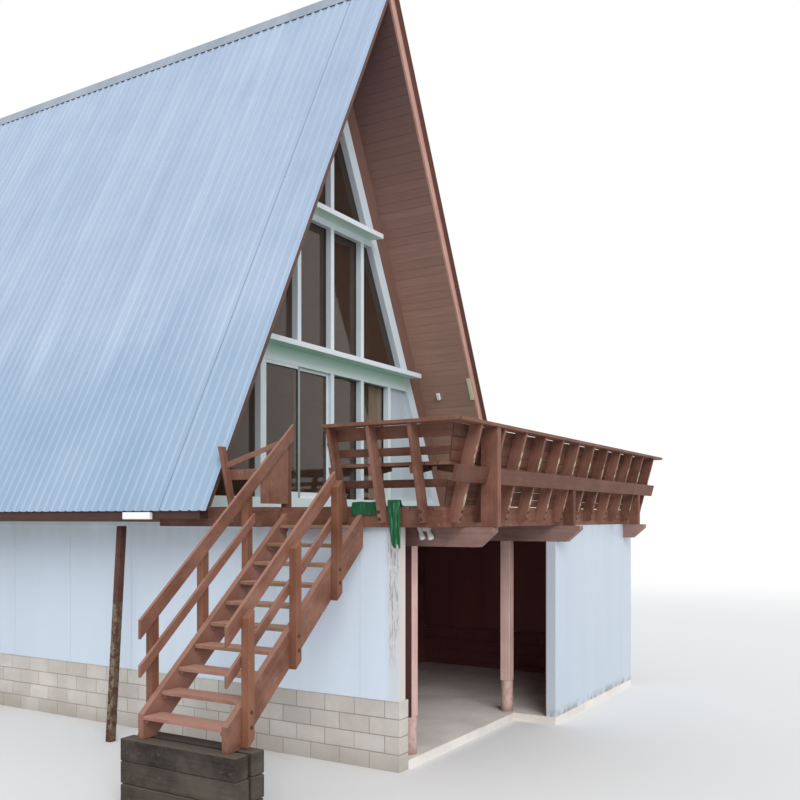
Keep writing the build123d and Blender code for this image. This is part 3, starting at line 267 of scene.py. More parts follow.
def fitted(piece, material, slot, *nodes):
    """A piece gets its material, rides on the building, and stands for the nodes named. Its slot is not used.
    """
    piece.data.materials.clear()
    piece.data.materials.append(material)
    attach(piece, "root")
    if nodes:
        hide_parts(*nodes)


def boxes(low, high):
    """Closed boxes from rows of low and high corners: eight points and six outward faces each."""
    low, high = np.asarray(low, float), np.asarray(high, float)
    pick = np.array([[0, 0, 0], [1, 0, 0], [1, 1, 0], [0, 1, 0], [0, 0, 1], [1, 0, 1], [1, 1, 1], [0, 1, 1]])
    points = low[:, None] * (1 - pick) + high[:, None] * pick
    sides = np.array([[0, 3, 2, 1], [4, 5, 6, 7], [0, 1, 5, 4], [1, 2, 6, 5], [2, 3, 7, 6], [3, 0, 4, 7]])
    faces = sides[None] + 8 * np.arange(len(low))[:, None, None]
    return points.reshape(-1, 3), faces.reshape(-1, 4)


def bevelled(piece, width, segments=2):
    """Eases every edge sharper than 30 degrees by a width, and keeps the result as the piece's own mesh."""
    modifier = piece.modifiers.new("eased", "BEVEL")
    modifier.width = width
    modifier.segments = segments
    modifier.limit_method = "ANGLE"
    modifier.angle_limit = math.radians(30)
    bpy.context.view_layer.update()
    evaluated = piece.evaluated_get(bpy.context.evaluated_depsgraph_get())
    mesh = bpy.data.meshes.new_from_object(evaluated)
    piece.modifiers.clear()
    piece.data = mesh
    return piece


def mark_boards(piece):
    """Marks each set of joined points as one board or block. Its grain runs along its longest edge: attribute
    grain is the place along, across and through it in metres, and attribute board is a number from 0 to 1
    made from where it lies. A set is found by handing the lowest point number along edges to the end."""
    mesh = piece.data
    points = np.empty(3 * len(mesh.vertices), np.float32)
    mesh.vertices.foreach_get("co", points)
    points = points.reshape(-1, 3).astype(float)
    edges = np.empty(2 * len(mesh.edges), np.int32)
    mesh.edges.foreach_get("vertices", edges)
    edges = edges.reshape(-1, 2)
    label = np.arange(len(points))
    while True:
        lowest = label.copy()
        np.minimum.at(lowest, edges[:, 0], label[edges[:, 1]])
        np.minimum.at(lowest, edges[:, 1], label[edges[:, 0]])
        lowest = lowest[lowest]
        if (lowest == label).all():
            break
        label = lowest
    span = points[edges[:, 1]] - points[edges[:, 0]]
    order = np.argsort(np.linalg.norm(span, axis=1), kind="stable")
    longest = np.zeros(len(points), int)
    longest[label[edges[order, 0]]] = order
    direction = span[longest[label]]
    direction /= np.linalg.norm(direction, axis=1)[:, None] + 1e-12
    upright = np.where(np.abs(direction[:, 2:]) > 0.9, [[0.0, 1.0, 0.0]], [[0.0, 0.0, 1.0]])
    across = np.cross(direction, upright)
    across /= np.linalg.norm(across, axis=1)[:, None] + 1e-12
    through = np.cross(direction, across)
    offset = points - points[label]
    grain = np.stack([(offset * axis).sum(1) for axis in (direction, across, through)], 1).astype(np.float32)
    scattered = np.abs(np.sin(points[label] @ np.array([12.9898, 78.233, 37.719])) * 43758.5453) % 1
    mesh.attributes.new("grain", "FLOAT_VECTOR", "POINT").data.foreach_set("vector", grain.ravel())
    mesh.attributes.new("board", "FLOAT", "POINT").data.foreach_set("value", scattered.astype(np.float32))
    return piece


concrete, place = new_material("worn_concrete")
grit = noise(place, 60.0, 5.0)
# Painted light: the slab's tones are raised above the concrete's own, to make up for the shade of the deck
# above it.
tone = blend(patchy(place, 0.9, 0.52, 0.09), (236, 229, 223), (204, 196, 190), 0.7)
surface(blend(grit, tone, (234, 228, 222), 0.35), 0.86, grit, 0.002)
finish_node("basement_slab", concrete)

block_length, course_height, joint, shortest_block = 0.407, 0.195, 0.010, 0.03
wall_outer, wall_inner, rear_start, rear_end = 3.245, 3.055, 8.995, 9.185
left_front, right_front = -3.243, -3.710


def block_run(start, end, course):
    """First and last point of each block in a course: a block to each module, moved by half a block in odd
    courses and cut at the ends."""
    count = int((end - start) / block_length) + 2
    first = start - (course % 2) * block_length / 2 + block_length * np.arange(count)
    ends = np.stack([np.maximum(first, start), np.minimum(first + block_length - joint, end)], 1)
    return ends[ends[:, 1] - ends[:, 0] > shortest_block]


low, high = [], []
for course in range(4):
    bottom = course * course_height
    top = bottom + course_height - (joint if course < 3 else 0)
    for left, right, start in ((-wall_outer, -wall_inner, left_front), (wall_inner, wall_outer, right_front)):
        run = block_run(start, rear_start - joint, course)
        low += [(left, first, bottom) for first, last in run]
        high += [(right, last, top) for first, last in run]
    run = block_run(-wall_outer, wall_outer, course + 1)
    low += [(first, rear_start, bottom) for first, last in run]
    high += [(last, rear_end, top) for first, last in run]
block_courses = mark_boards(bevelled(mesh_object("block_courses", *boxes(low, high)), 0.004, 1))

recess, corner_lap = 0.007, 0.05
mortar_top = 0.776
mortar_bed = mesh_object("mortar_bed", *boxes(
    [(-wall_outer + recess, left_front + joint, 0), (wall_inner + recess, right_front + joint, 0),
     (-wall_outer + recess, rear_start + recess, 0)],
    [(-wall_inner - recess, rear_start + corner_lap, mortar_top),
     (wall_outer - recess, rear_start + corner_lap, mortar_top),
     (wall_outer - recess, rear_end - recess, mortar_top - 0.001)],
))


def painted_inside(place, reach):
    """One on faces that look into the carport: within reach of the middle line, before the rear wall."""
    x, y, z = axes_of(place)
    return times(below(unsigned(x), reach), below(y, 9.01))


def marked(place, name, output):
    """A mark that a mesh carries: an output of its attribute of this name."""
    return add(place.id_data, "Attribute", attribute_name=name).outputs[output]


blocks, place = new_material("grey_blocks")
pores = noise(place, 140.0, 4.0, 0.7)
foot = between(axes_of(place)[2], 0.35, 0.0)
board = marked(place, "board", "Fac")
tone = blend(board, (198, 192, 185), (214, 209, 203))
tone = blend(patchy(place, 0.5, 0.5, 0.12), tone, (164, 156, 146), 0.35)
tone = blend(foot, tone, (136, 128, 112), 0.35)
inner_red = blend(pores, (112, 68, 67), (138, 88, 84))
surface(blend(painted_inside(place, 3.06), tone, inner_red), 0.93, pores, 0.004)
fitted(block_courses, blocks, "block", "side_block_walls", "rear_block_wall")

mortar, place = new_material("mortar")
sand = noise(place, 220.0, 3.0)
tone = blend(sand, (150, 142, 136), (174, 166, 158))
surface(blend(painted_inside(place, 3.067), tone, (104, 64, 62)), 0.95, sand, 0.002)
fitted(mortar_bed, mortar, "block")

# Framed walls: plywood sheets 1.22 m wide on studs, painted pale blue white outside, dark red in the carport
# and brown in the cabin. At the front edge of the left wall the paint has come off in flakes.

sheet_width, sheet_start = 1.22, 20.02
wall_paint, place = new_material("pale_wall_paint")
x, y, z = axes_of(place)
sheets = calculate("DIVIDE", calculate("ADD", calculate("ADD", x, y), sheet_start), sheet_width)
off_middle = calculate("SUBTRACT", calculate("FRACT", sheets), 0.5)
seam = between(unsigned(off_middle), 0.0030, 0.0010)
streaks = noise(place, 1.2, 6.0, 0.6, stretch=(2.2, 2.2, 0.30))
brushed = noise(place, 1.0, 4.0, stretch=(60.0, 60.0, 2.5))
faded = times(between(streaks, 0.36, 0.66), 0.35)
left_face = below(x, -3.2)
tone = blend(faded, (195, 206, 219), (187, 199, 213))
# Painted light: the left wall's paint is lighter than the other walls', to make up for the shade of the stair
# and the deck rim.
tone = blend(left_face, tone, blend(faded, (222, 236, 251), (210, 225, 241)))
# Painted shade: further back, under the roof's overhang, the left wall turns darker.
overhang_shade = times(between(y, -1.6, 2.5), left_face)
tone = blend(overhang_shade, tone, (192, 205, 219), 0.6)
# Painted shade: the tops of the walls, under the eaves and the deck, turn a darker grey green in streaks.
wall_top_shade = times(between(z, 2.30, 2.74), between(streaks, 0.30, 0.60))
tone = blend(wall_top_shade, tone, (178, 186, 182), 0.35)
splashed = times(between(z, 0.24, 0.10), above(x, -1.0))
low_dirt = times(patchy(place, 0.14, 0.50, 0.08), splashed)
tone = blend(low_dirt, tone, (132, 122, 98), 0.75)
corner = times(between(y, -3.04, -3.16), left_face)
flakes = patchy(stretched(place, (1.0, 1.8, 0.35)), 0.03, 0.50, 0.05)
bare = times(corner, flakes, between(z, 0.9, 1.8))
bare_wood = blend(between(brushed, 0.40, 0.60), (166, 160, 160), (230, 228, 228))
tone = blend(corner, tone, (216, 216, 220), 0.6)
tone = blend(bare, tone, bare_wood)
tone = blend(seam, tone, (150, 158, 166), 0.35)
end_board = times(below(y, -3.2425), below(x, -3.0))
tone = blend(end_board, tone, (214, 206, 202))
before_rear = below(y, 9.1)
carport = times(below(unsigned(x), 3.125), above(y, -3.72), below(z, 2.75), before_rear)
tone = blend(carport, tone, blend(streaks, (120, 72, 72), (146, 92, 88)))
cabin = times(above(y, 0.05), above(z, 2.75), before_rear)
tone = blend(cabin, tone, blend(streaks, (92, 68, 54), (122, 94, 74)))
relief = calculate("SUBTRACT", times(brushed, 0.08), calculate("ADD", bare, seam))
surface(tone, 0.48, relief, 0.002)
for node in ("side_framed_walls", "rear_framed_wall", "front_right_wall", "end_panel", "rear_gable_wall"):
    finish_node(node, wall_paint)

dark_paint, place = new_material("dark_red_wall_paint")
scuffs = patchy(stretched(place, (1.0, 1.0, 0.5)), 0.35, 0.5, 0.1)
boarding = noise(place, 1.0, 4.0, stretch=(40.0, 1.0, 1.2))
surface(blend(scuffs, (128, 76, 77), (154, 98, 94)), 0.6, boarding, 0.002)
finish_node("carport_back_wall", dark_paint)

# Timber: every board is sawn softwood with eased edges, and its grain runs along it. A board's mesh is a copy
# of its solid with the edges eased, and it also carries where each point lies along and across its own board.


def eased_boards(node, ease):
    """Copy of a node's boards, with points merged, flat faces joined, edges eased and boards marked."""
    work = bmesh.new()
    work.from_mesh(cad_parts[node].data)
    bmesh.ops.remove_doubles(work, verts=work.verts, dist=1e-5)
    bmesh.ops.dissolve_limit(work, angle_limit=0.02, verts=work.verts, edges=work.edges)
    mesh = bpy.data.meshes.new(node + "_timber")
    work.to_mesh(mesh)
    work.free()
    piece = bpy.data.objects.new(node + "_timber", mesh)
    bpy.context.scene.collection.objects.link(piece)
    return mark_boards(bevelled(piece, ease))


figure, given, result = effect_group(
    "timber_figure",
    {"Grain": ("Vector", None), "Board": ("Float", 0.0), "Ring": ("Float", 30.0)},
    {"Streak": "Float", "Fibre": "Float"},
)
shift = add(figure, "CombineXYZ", {"X": times(given["Board"], 91.0), "Y": given["Board"]})
moved = add(figure, "VectorMath", {0: given["Grain"], 1: shift.outputs[0]}, operation="ADD").outputs[0]
coarse = add(figure, "TexNoise", {
    "Vector": stretched(moved, (0.045, 1.0, 1.0)), "Scale": given["Ring"],
    "Detail": 5.0, "Roughness": 0.55, "Distortion": 0.35,
})
figure.links.new(coarse.outputs["Fac"], result["Streak"])
figure.links.new(noise(moved, 420.0, stretch=(0.03, 1.0, 1.0)), result["Fibre"])


def timber_lines(grain, board):
    """The streaks and fibres of one board, told apart by its number."""
    sockets = {"Grain": grain, "Board": board, "Ring": 30.0}
    return add(grain.id_data, "Group", sockets, node_tree=figure).outputs


def normal_of(place):
    """The direction that a face looks in."""
    return add(place.id_data, "NewGeometry").outputs["Normal"]


def facing_up(place):
    """How far a face looks up: one on top, minus one underneath."""
    return axes_of(normal_of(place))[2]


def painted_timber(name, shade, lit, worn, bare, wear, rough=0.62, zones=(), zone_tone=None, zone_share=0.5,
                   facing=(0, -1, 0), left_shade=0.0):
    """Painted or stained boards. Tone goes from shade to lit with the board and its streaks, upper faces and
    patches turn to the worn colour by the wear, and where paint has flaked the bare wood shows. In the zones,
    boxes of space from a low to a high corner, faces that look one way take the zone tone in patches, the more
    of them the lower the share: moss, flaked paint and weathering, and on the carport posts painted shade.
    Boards on the left half may be darker."""
    material, place = new_material(name)
    grain = marked(place, "grain", "Vector")
    board = marked(place, "board", "Fac")
    lines = timber_lines(grain, board)
    share = calculate("ADD", times(board, 0.45), times(lines["Streak"], 0.75))
    tone = blend(between(share, 0.25, 0.95), shade, lit)
    top_wear = times(between(facing_up(place), 0.25, 0.9), min(1.0, 1.6 * wear))
    worn_patches = times(patchy(place, 0.45, 0.53, 0.12), wear)
    tone = blend(calculate("MAXIMUM", worn_patches, top_wear), tone, worn)
    chips = times(patchy(stretched(grain, (0.35, 1.0, 1.0)), 0.035, 0.66, 0.05), wear)
    tone = blend(chips, tone, bare)
    axes = axes_of(place)
    if zones:
        sockets = {0: normal_of(place), 1: facing}
        turned_to = add(place.id_data, "VectorMath", sockets, operation="DOT_PRODUCT").outputs["Value"]
        spots = times(patchy(place, 0.07, zone_share, 0.03), between(turned_to, 0.45, 0.75))
        for corners in zones:
            inside = spots
            for axis, first, last in zip(axes, *corners):
                inside = times(inside, between(axis, first, first + 0.05))
                inside = times(inside, between(axis, last, last - 0.05))
            tone = blend(inside, tone, zone_tone)
    if left_shade:
        tone = blend(below(axes[0], 0.0), tone, (70, 48, 42), left_shade)
    relief = calculate("SUBTRACT", times(lines["Fibre"], 0.4), times(chips, 0.5))
    surface(tone, rough, relief, 0.0025, Specular_IOR_Level=0.25)
    return material


# Each row: paint, its shade, lit, worn and bare colours, wear, what else it has, slot, ease of edges, nodes.
timbers = (
    ("deck_paint", ((88, 57, 46), (124, 84, 69), (164, 122, 106), (170, 140, 122)), 0.34, {},
     "deck_wood", 0.004, "deck_front_rim deck_side_rims deck_boards wing_rims bench_brackets bench_planks "
     "rail_caps rail_posts"),
    # Painted shade: the rail boards and the band are darker copies of the deck paint.
    ("shaded_rail_board_paint", ((76, 48, 39), (106, 70, 57), (146, 106, 92), (160, 130, 112)), 0.28, {},
     "deck_wood", 0.004, "front_rail_boards side_rail_boards"),
    ("shaded_band_paint", ((80, 51, 42), (108, 72, 60), (140, 100, 86), (150, 120, 104)), 0.3, {},
     "deck_wood", 0.004, "rail_band"),
    ("stair_paint", ((106, 70, 57), (136, 95, 80), (170, 129, 113), (182, 150, 134)), 0.42, {},
     "deck_wood", 0.004, "stair_stringers stair_cleats stair_handrails stair_side_panel short_rail"),
    ("stair_post_paint", ((104, 66, 50), (134, 90, 70), (156, 114, 94), (160, 128, 108)), 0.3, {},
     "deck_wood", 0.004, "stair_posts"),
    ("tread_paint", ((128, 88, 76), (156, 112, 98), (188, 146, 130), (176, 152, 120)), 0.45,
     {"rough": 0.7, "zones": (((-6.0, -3.2, 1.45), (-3.0, -1.2, 2.80)),), "zone_tone": (130, 118, 82),
      "facing": (-1, 0, 0)}, "deck_wood", 0.005, "stair_treads"),
    ("support_paint", ((98, 64, 53), (138, 96, 82), (172, 132, 118), (176, 160, 136)), 0.34,
     {"zones": (((-3.4, -4.4, 3.36), (3.8, -3.88, 3.58)), ((-3.4, -4.4, 2.90), (3.8, -3.88, 3.08))),
      "zone_tone": (182, 176, 146)}, "deck_wood", 0.004, "rail_supports"),
    ("dark_brown_stain", ((82, 55, 49), (110, 77, 69), (132, 100, 92), (126, 112, 102)), 0.18, {},
     "brown_wood", 0.004, "deck_joists"),
    ("dark_eave_stain", ((62, 42, 38), (84, 60, 54), (100, 76, 68), (108, 94, 84)), 0.12, {},
     "brown_wood", 0.004, "eave_beams"),
    ("bent_paint", ((112, 84, 76), (130, 100, 90), (134, 104, 94), (124, 98, 88)), 0.1, {},
     "brown_wood", 0.004, "gable_bents"),
    ("faded_beam_paint", ((124, 96, 88), (152, 122, 114), (182, 150, 144), (148, 130, 122)), 0.3, {},
     "brown_wood", 0.006, "deck_beams"),
    # Painted light and shade: the posts' tones are raised to make up for the deck's shade above them, and the
    # zone darkens the face of the left post that looks to -X.
    ("post_paint", ((196, 158, 150), (222, 190, 182), (232, 208, 200), (180, 150, 142)), 0.35,
     {"zones": (((-2.95, -3.3, 0.0), (-2.55, -2.9, 2.6)),), "zone_tone": (98, 68, 66), "zone_share": 0.1,
      "facing": (-1, 0, 0)}, "brown_wood", 0.005, "carport_posts"),
    ("weathered_prop", ((78, 50, 44), (108, 76, 66), (122, 104, 82), (128, 122, 96)), 0.3,
     {"rough": 0.8, "zones": (((-9.0, -9.0, -0.1), (9.0, 12.0, 1.75)),), "zone_tone": (122, 112, 94),
      "facing": (-0.8, -0.6, 0)}, "brown_wood", 0.006, "eave_props"),
    ("inner_pine", ((112, 82, 58), (146, 110, 80), (160, 126, 94), (140, 112, 84)), 0.08, {"rough": 0.55},
     "inner_wood", 0.003, "cabin_floor rafters ridge_board"),
    ("barge_paint", ((196, 150, 138), (216, 172, 160), (226, 188, 176), (176, 140, 126)), 0.3,
     {"left_shade": 0.82}, "barge_wood", 0.004, "barge_boards"),
    ("white_trim_paint", ((214, 226, 236), (228, 237, 245), (232, 239, 245), (200, 204, 204)), 0.08,
     {"rough": 0.42}, "white_trim", 0.003, "raked_trims mullions rear_window_frames"),
)
paints = {}
for name, tones, wear, more, slot, ease, nodes in timbers:
    paints[name] = painted_timber(name, *tones, wear, **more)
    for node in nodes.split():
        fitted(eased_boards(node, ease), paints[name], slot, node)

# Floor joists: their tails beyond the walls are cut to half height, and a painted board closes the wall above
# its plate, so no joist shows from the side under the eave.


def repeated(kinds, points_each, count):
    """Faces of many copies of a piece, from tables of one's faces. Each copy's points follow the last's."""
    starts = points_each * np.arange(count)[:, None, None]
    return [row for kind in kinds for row in (np.asarray(kind) + starts).reshape(-1, len(kind[0])).tolist()]


def extruded(name, x, z, spans, turned_over):
    """Closed bars, one for each span of Y: an outline across the building at the span's two ends, a face
    between each two outline points, and a cap at each end. Turned over, all faces look the other way."""
    count = len(x)
    ring = np.arange(count)
    following = (ring + 1) % count
    sides = np.stack([ring, following, following + count, ring + count], 1)
    kinds = [sides, np.stack([ring[::-1], ring + count])]
    if turned_over:
        kinds = [kind[:, ::-1] for kind in kinds]
    points = np.concatenate([np.stack([x, np.full(count, y), z], 1) for span in spans for y in span])
    return mesh_object(name, points, repeated(kinds, 2 * count, len(spans)))


joist_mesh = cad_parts["floor_joists"].data
joist_points = np.empty(3 * len(joist_mesh.vertices), np.float32)
joist_mesh.vertices.foreach_get("co", joist_points)
joist_sides = np.unique(joist_points.reshape(-1, 3)[:, 1].round(4))
joist_low, joist_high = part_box("floor_joists")
tail_start, tail_bottom = 3.262, 2.792
outline = np.array([
    (joist_low.x, tail_bottom), (-tail_start, tail_bottom), (-tail_start, joist_low.z),
    (tail_start, joist_low.z), (tail_start, tail_bottom), (joist_high.x, tail_bottom),
    (joist_high.x, joist_high.z), (joist_low.x, joist_high.z),
])
cut_joists = extruded("cut_floor_joists", *outline.T, joist_sides.reshape(-1, 2), True)
mark_boards(bevelled(cut_joists, 0.003))
fitted(cut_joists, paints["dark_eave_stain"], "brown_wood", "floor_joists")

closing_inner, closing_outer = 3.2605, 3.279
closing_boards = bevelled(mesh_object("wall_closing_boards", *boxes(
    [(-closing_outer, -1.0, 2.690), (closing_inner, -1.0, 2.690)],
    [(-closing_inner, 9.2, 2.7915), (closing_outer, 9.2, 2.7915)],
)), 0.002)
fitted(closing_boards, wall_paint, "wall_paint")

# Crib of sleepers: three courses of old railway sleepers, stacked two deep with open joints, hold
# the stair's foot.

sleeper_stain = painted_timber(
    "dark_sleepers", (46, 41, 38), (74, 67, 61), (112, 102, 92), (120, 106, 94), 0.4, 0.9)
crib_low, crib_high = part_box("stair_sleepers")
course_rise = (crib_high.z - crib_low.z) / 3
sleeper_width, sleeper_step, side_play, end_play, open_joint = 0.190, 0.215, 0.006, 0.010, 0.003
low, high = [], []
for course in range(3):
    bottom = crib_low.z + course * course_rise
    top = bottom + course_rise - (0.0 if course == 2 else open_joint)
    columns = ((crib_low.x, crib_low.x + sleeper_width), (crib_low.x + sleeper_step, crib_high.x))
    for number, (left, right) in enumerate(columns):
        shift = 0.006 * math.sin(2.3 * course + 4.1 * number)
        low.append((left + side_play + shift, crib_low.y + end_play + abs(shift), bottom + open_joint))
        high.append((right - side_play + shift, crib_high.y - end_play + shift, top))
sleeper_crib = mark_boards(bevelled(mesh_object("sleeper_crib", *boxes(low, high)), 0.014, 3))
fitted(sleeper_crib, sleeper_stain, "sleeper_wood", "stair_sleepers")

# Roof boarding and soffits: the boarding lies over the rafters. The soffit is of brown boards 142 mm wide,
# laid along the building, with a narrow groove between each two, and it shows under the front overhang.

finish_node("roof_boarding", paints["inner_pine"])

slope_angle = math.radians(63.2)
slope_cos, slope_sin = math.cos(slope_angle), math.sin(slope_angle)
eave_reach, eave_level, soffit_foot, ridge_play = 4.130, 2.890, 2.930, 0.001
face, seat = 0.152, 0.132
board_pitch, groove, groove_depth = 0.142, 0.0035, 0.004


def slope_points(side, along, depth):
    """X and Z on a roof slope: so far up from its eave, so deep under its face. Side is -1 or 1."""
    x = -eave_reach + along * slope_cos + depth * slope_sin
    return -side * x, eave_level + along * slope_sin - depth * slope_cos


def slope_start(depth):
    """How far along the slope a depth meets the level of the soffit's foot."""
    return (soffit_foot - eave_level + depth * slope_cos) / slope_sin


def slope_end(depth):
    """How far along the slope a depth meets the middle line, less a little play."""
    return (eave_reach - ridge_play - depth * slope_sin) / slope_cos


def own_number(value):
    """A number from 0 to 1 of its own for each whole step of a value."""
    whole = calculate("FLOOR", value)
    return add(value.id_data, "TexWhiteNoise", {"W": whole}, noise_dimensions="1D").outputs["Value"]


soffit_paint, place = new_material("brown_soffit_paint")
x, y, z = axes_of(place)
board = own_number(calculate("DIVIDE", z, board_pitch * slope_sin))
lines = timber_lines(add(place.id_data, "CombineXYZ", {"X": y, "Y": z, "Z": x}).outputs[0], board)
share = calculate("ADD", times(board, 0.22), times(lines["Streak"], 0.8))
# Painted light: the boards' tones are raised to make up for the shade under the overhang.
tone = blend(between(share, 0.2, 0.95), (166, 127, 114), (188, 147, 133))
# Painted shade: the boards turn darker towards the ridge.
tone = blend(between(z, 6.0, 10.5), tone, (112, 86, 84))
surface(tone, 0.6, lines["Fibre"], 0.0012)

# The outline goes up the grooved face, over the top and down the plain back. A groove has four points.
first, last = slope_start(face), slope_end(face)
joints = first + board_pitch * np.arange(1, int((last - first) / board_pitch))
groove_along = (joints[:, None] + groove * np.array([-1.0, -0.4, 0.4, 1.0])).ravel()
groove_face = np.tile([face, face - groove_depth, face - groove_depth, face], len(joints))
along = np.concatenate([[first], groove_along, [last, slope_end(seat), slope_start(seat)]])
depth = np.concatenate([[face], groove_face, [face, seat, seat]])
soffit_low, soffit_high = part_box("roof_soffits")
for side, name, nodes in ((-1, "soffit_boards_left", ["roof_soffits"]), (1, "soffit_boards_right", [])):
    soffit = extruded(name, *slope_points(side, along, depth), [(soffit_low.y, soffit_high.y)], side == 1)
    fitted(soffit, soffit_paint, "brown_wood", *nodes)

# Roof: light blue coated steel sheets, 610 mm wide, with a rib every 152 mm, lapped on a rib and screwed down
# through the ribs in level rows. A bent cap covers the ridge.

roof_front, roof_length, rib_pitch, rib_count = -1.2, 11.0, 0.1524, 72
first_lap, steel_width = 0.4676, 0.6096


def spread(value, low, high):
    """Carries nought to low and one to high."""
    return add(value.id_data, "MapRange", {"Value": value, "To Min": low, "To Max": high}).outputs["Result"]


def coated_steel(name, base, pale, deep, lap_dark):
    """Coated sheet: each sheet has its own tone, laps show as thin dark lines, one of them open and darker,
    faint streaks run down, and the lower half turns a deeper blue as a painted reflection. The side that looks
    down is brown."""
    material, place = new_material(name)
    x, y, z = axes_of(place)
    from_lap = calculate("ADD", y, first_lap)
    sheets = calculate("DIVIDE", from_lap, steel_width)
    sheet = own_number(sheets)
    edge = unsigned(calculate("SUBTRACT", calculate("FRACT", sheets), 0.5))
    lap = times(between(edge, 0.486, 0.496), times(sheet, 0.3))
    open_lap = between(unsigned(from_lap), 0.016, 0.008)
    runs = noise(place, 1.0, 6.0, stretch=(0.5, 5.0, 0.30))
    share = calculate("ADD", times(sheet, 0.12), times(runs, 0.8))
    tone = blend(between(share, 0.2, 0.8), base, pale)
    level = calculate("ADD", z, times(runs, 1.6))
    # Painted reflection: the lower half of the roof turns a deeper blue.
    tone = blend(between(level, 6.6, 5.2), tone, deep, 0.8)
    tone = blend(patchy(place, 1.8, 0.5, 0.15), tone, (206, 220, 238), 0.16)
    tone = blend(calculate("MAXIMUM", lap, open_lap), tone, lap_dark)
    tone = blend(between(facing_up(place), 0.16, 0.08), tone, (112, 80, 72))
    surface(tone, spread(runs, 0.42, 0.58), runs, 0.002, Coat_Weight=0.12, Coat_Roughness=0.2)
    return material


finish_node("roof_sheets", coated_steel(
    "light_blue_steel", (147, 167, 193), (168, 187, 210), (133, 160, 186), (84, 104, 130)))
finish_node("ridge_cap", coated_steel(
    "ridge_cap_steel", (126, 138, 152), (150, 162, 176), (140, 152, 166), (96, 106, 120)))


def ring_faces(rings, steps):
    """A face between each two points of a ring and the next ring, for rings of so many points."""
    ring, step = (part.reshape(-1, 1) for part in np.meshgrid(range(rings - 1), range(steps), indexing="ij"))
    following = (step + 1) % steps
    near, far = ring * steps, (ring + 1) * steps
    return np.hstack([near + step, near + following, far + following, far + step])


def head_faces(rings, steps):
    """Faces of a round head: its rings, the fan from the last ring to the tip, and the flat base."""
    step = np.arange(steps)
    last = (rings - 1) * steps
    fan = np.stack([last + step, last + (step + 1) % steps, np.full(steps, rings * steps)], 1)
    return [ring_faces(rings, steps), fan, step[None, ::-1]]


# A screw has a flat washer under a hexagonal head: rings at these radii and heights, and a tip in the middle.
screw_rings = ((0.0078, 0.0), (0.0078, 0.0016), (0.0045, 0.0018), (0.0045, 0.0062))
screw_steps = 6
first_rib = roof_front + (roof_length - rib_count * rib_pitch) / 2
rib_middles = first_rib + rib_pitch * (np.arange(rib_count) + 0.5)
places = np.meshgrid(np.arange(0.35, 8.7, 0.61), rib_middles[::2], indexing="ij")
along, middle = (part.ravel() for part in places)
turn = np.linspace(0, 2 * np.pi, screw_steps, endpoint=False)
radius, lift = (np.array(part)[None, :, None] for part in zip(*screw_rings))
ring_along = (along[:, None, None] + radius * np.cos(turn)).reshape(len(along), -1)
ring_y = (middle[:, None, None] + radius * np.sin(turn)).reshape(len(along), -1)
ring_lift = np.broadcast_to(lift, (1, len(screw_rings), screw_steps)).reshape(1, -1)
points, faces = [], []
for side in (-1, 1):
    ring_x, ring_z = slope_points(side, ring_along, -ring_lift)
    tip_x, tip_z = slope_points(side, along, -screw_rings[-1][1])
    heads = [np.stack([ring_x, ring_y, ring_z], -1), np.stack([tip_x, middle, tip_z], -1)[:, None]]
    kinds = head_faces(len(screw_rings), screw_steps)
    if side == -1:
        kinds = [kind[:, ::-1] for kind in kinds]
    start = sum(map(len, points))
    points.append(np.concatenate(heads, 1).reshape(-1, 3))
    points_each = len(points[-1]) // len(along)
    faces += repeated([kind + start for kind in kinds], points_each, len(along))
roof_screws = mesh_object("roof_screws", np.concatenate(points), faces)


def speckled(name, first, second, rough, relief, scale, detail=2.0, stretch=None, **plain):
    """A material whose colour and bump follow the same noise."""
    material, place = new_material(name)
    specks = noise(place, scale, detail, stretch=stretch)
    surface(blend(specks, first, second), rough, specks, relief, **plain)
    return material


screw_metal = speckled("screw_heads", (138, 158, 180), (176, 192, 208), 0.4, 0.0004, 90.0, Metallic=0.6)
fitted(roof_screws, screw_metal, "roof_metal")

# Window wall: white painted frames hold dark glass. Two sloping white hoods throw the rain off the headers;
# under them the hoods and the headers carry a painted mint reflection of the green turf. The wide opening at
# the left holds a sliding door of white coated metal.

mint, place = new_material("visor_paint_and_turf_reflection")
brushed = noise(place, 1.0, 4.0, stretch=(2.0, 30.0, 30.0))
# Painted reflection: faces that look down turn mint, as the green turf's light under the hoods.
tone = blend(between(facing_up(place), -0.35, -0.75), (226, 233, 240), (222, 252, 240))
surface(blend(brushed, tone, (204, 214, 214), 0.2), 0.45, brushed, 0.0008)
fitted(eased_boards("visors", 0.004), mint, "mint_trim", "visors")

header_paint_and_reflection, place = new_material("header_paint_and_reflection")
level = axes_of(place)[2]
brushed = noise(place, 1.0, 4.0, stretch=(2.0, 30.0, 30.0))
# Painted reflection: the headers turn mint towards their top, under the hoods, as the green turf's light.
painted_turf_reflection = times(between(level, 5.04, 5.36), below(level, 5.8))
tone = blend(brushed, (228, 238, 242), (206, 220, 222), 0.25)
surface(blend(painted_turf_reflection, tone, (186, 222, 206)), 0.45, brushed, 0.0008)
fitted(eased_boards("sill_and_headers", 0.003), header_paint_and_reflection, "white_trim", "sill_and_headers")

door_coat, place = new_material("white_door_metal")
grime = patchy(place, 0.25, 0.56, 0.1)
from_stile = unsigned(calculate("ADD", axes_of(place)[0], 0.862))
tone = blend(grime, (226, 232, 238), (190, 196, 200), 0.3)
tone = blend(between(from_stile, 0.030, 0.026), tone, (150, 156, 160))
surface(tone, 0.35, grime, 0.0004)
fitted(eased_boards("sliding_door", 0.002), door_coat, "door_frame", "sliding_door")

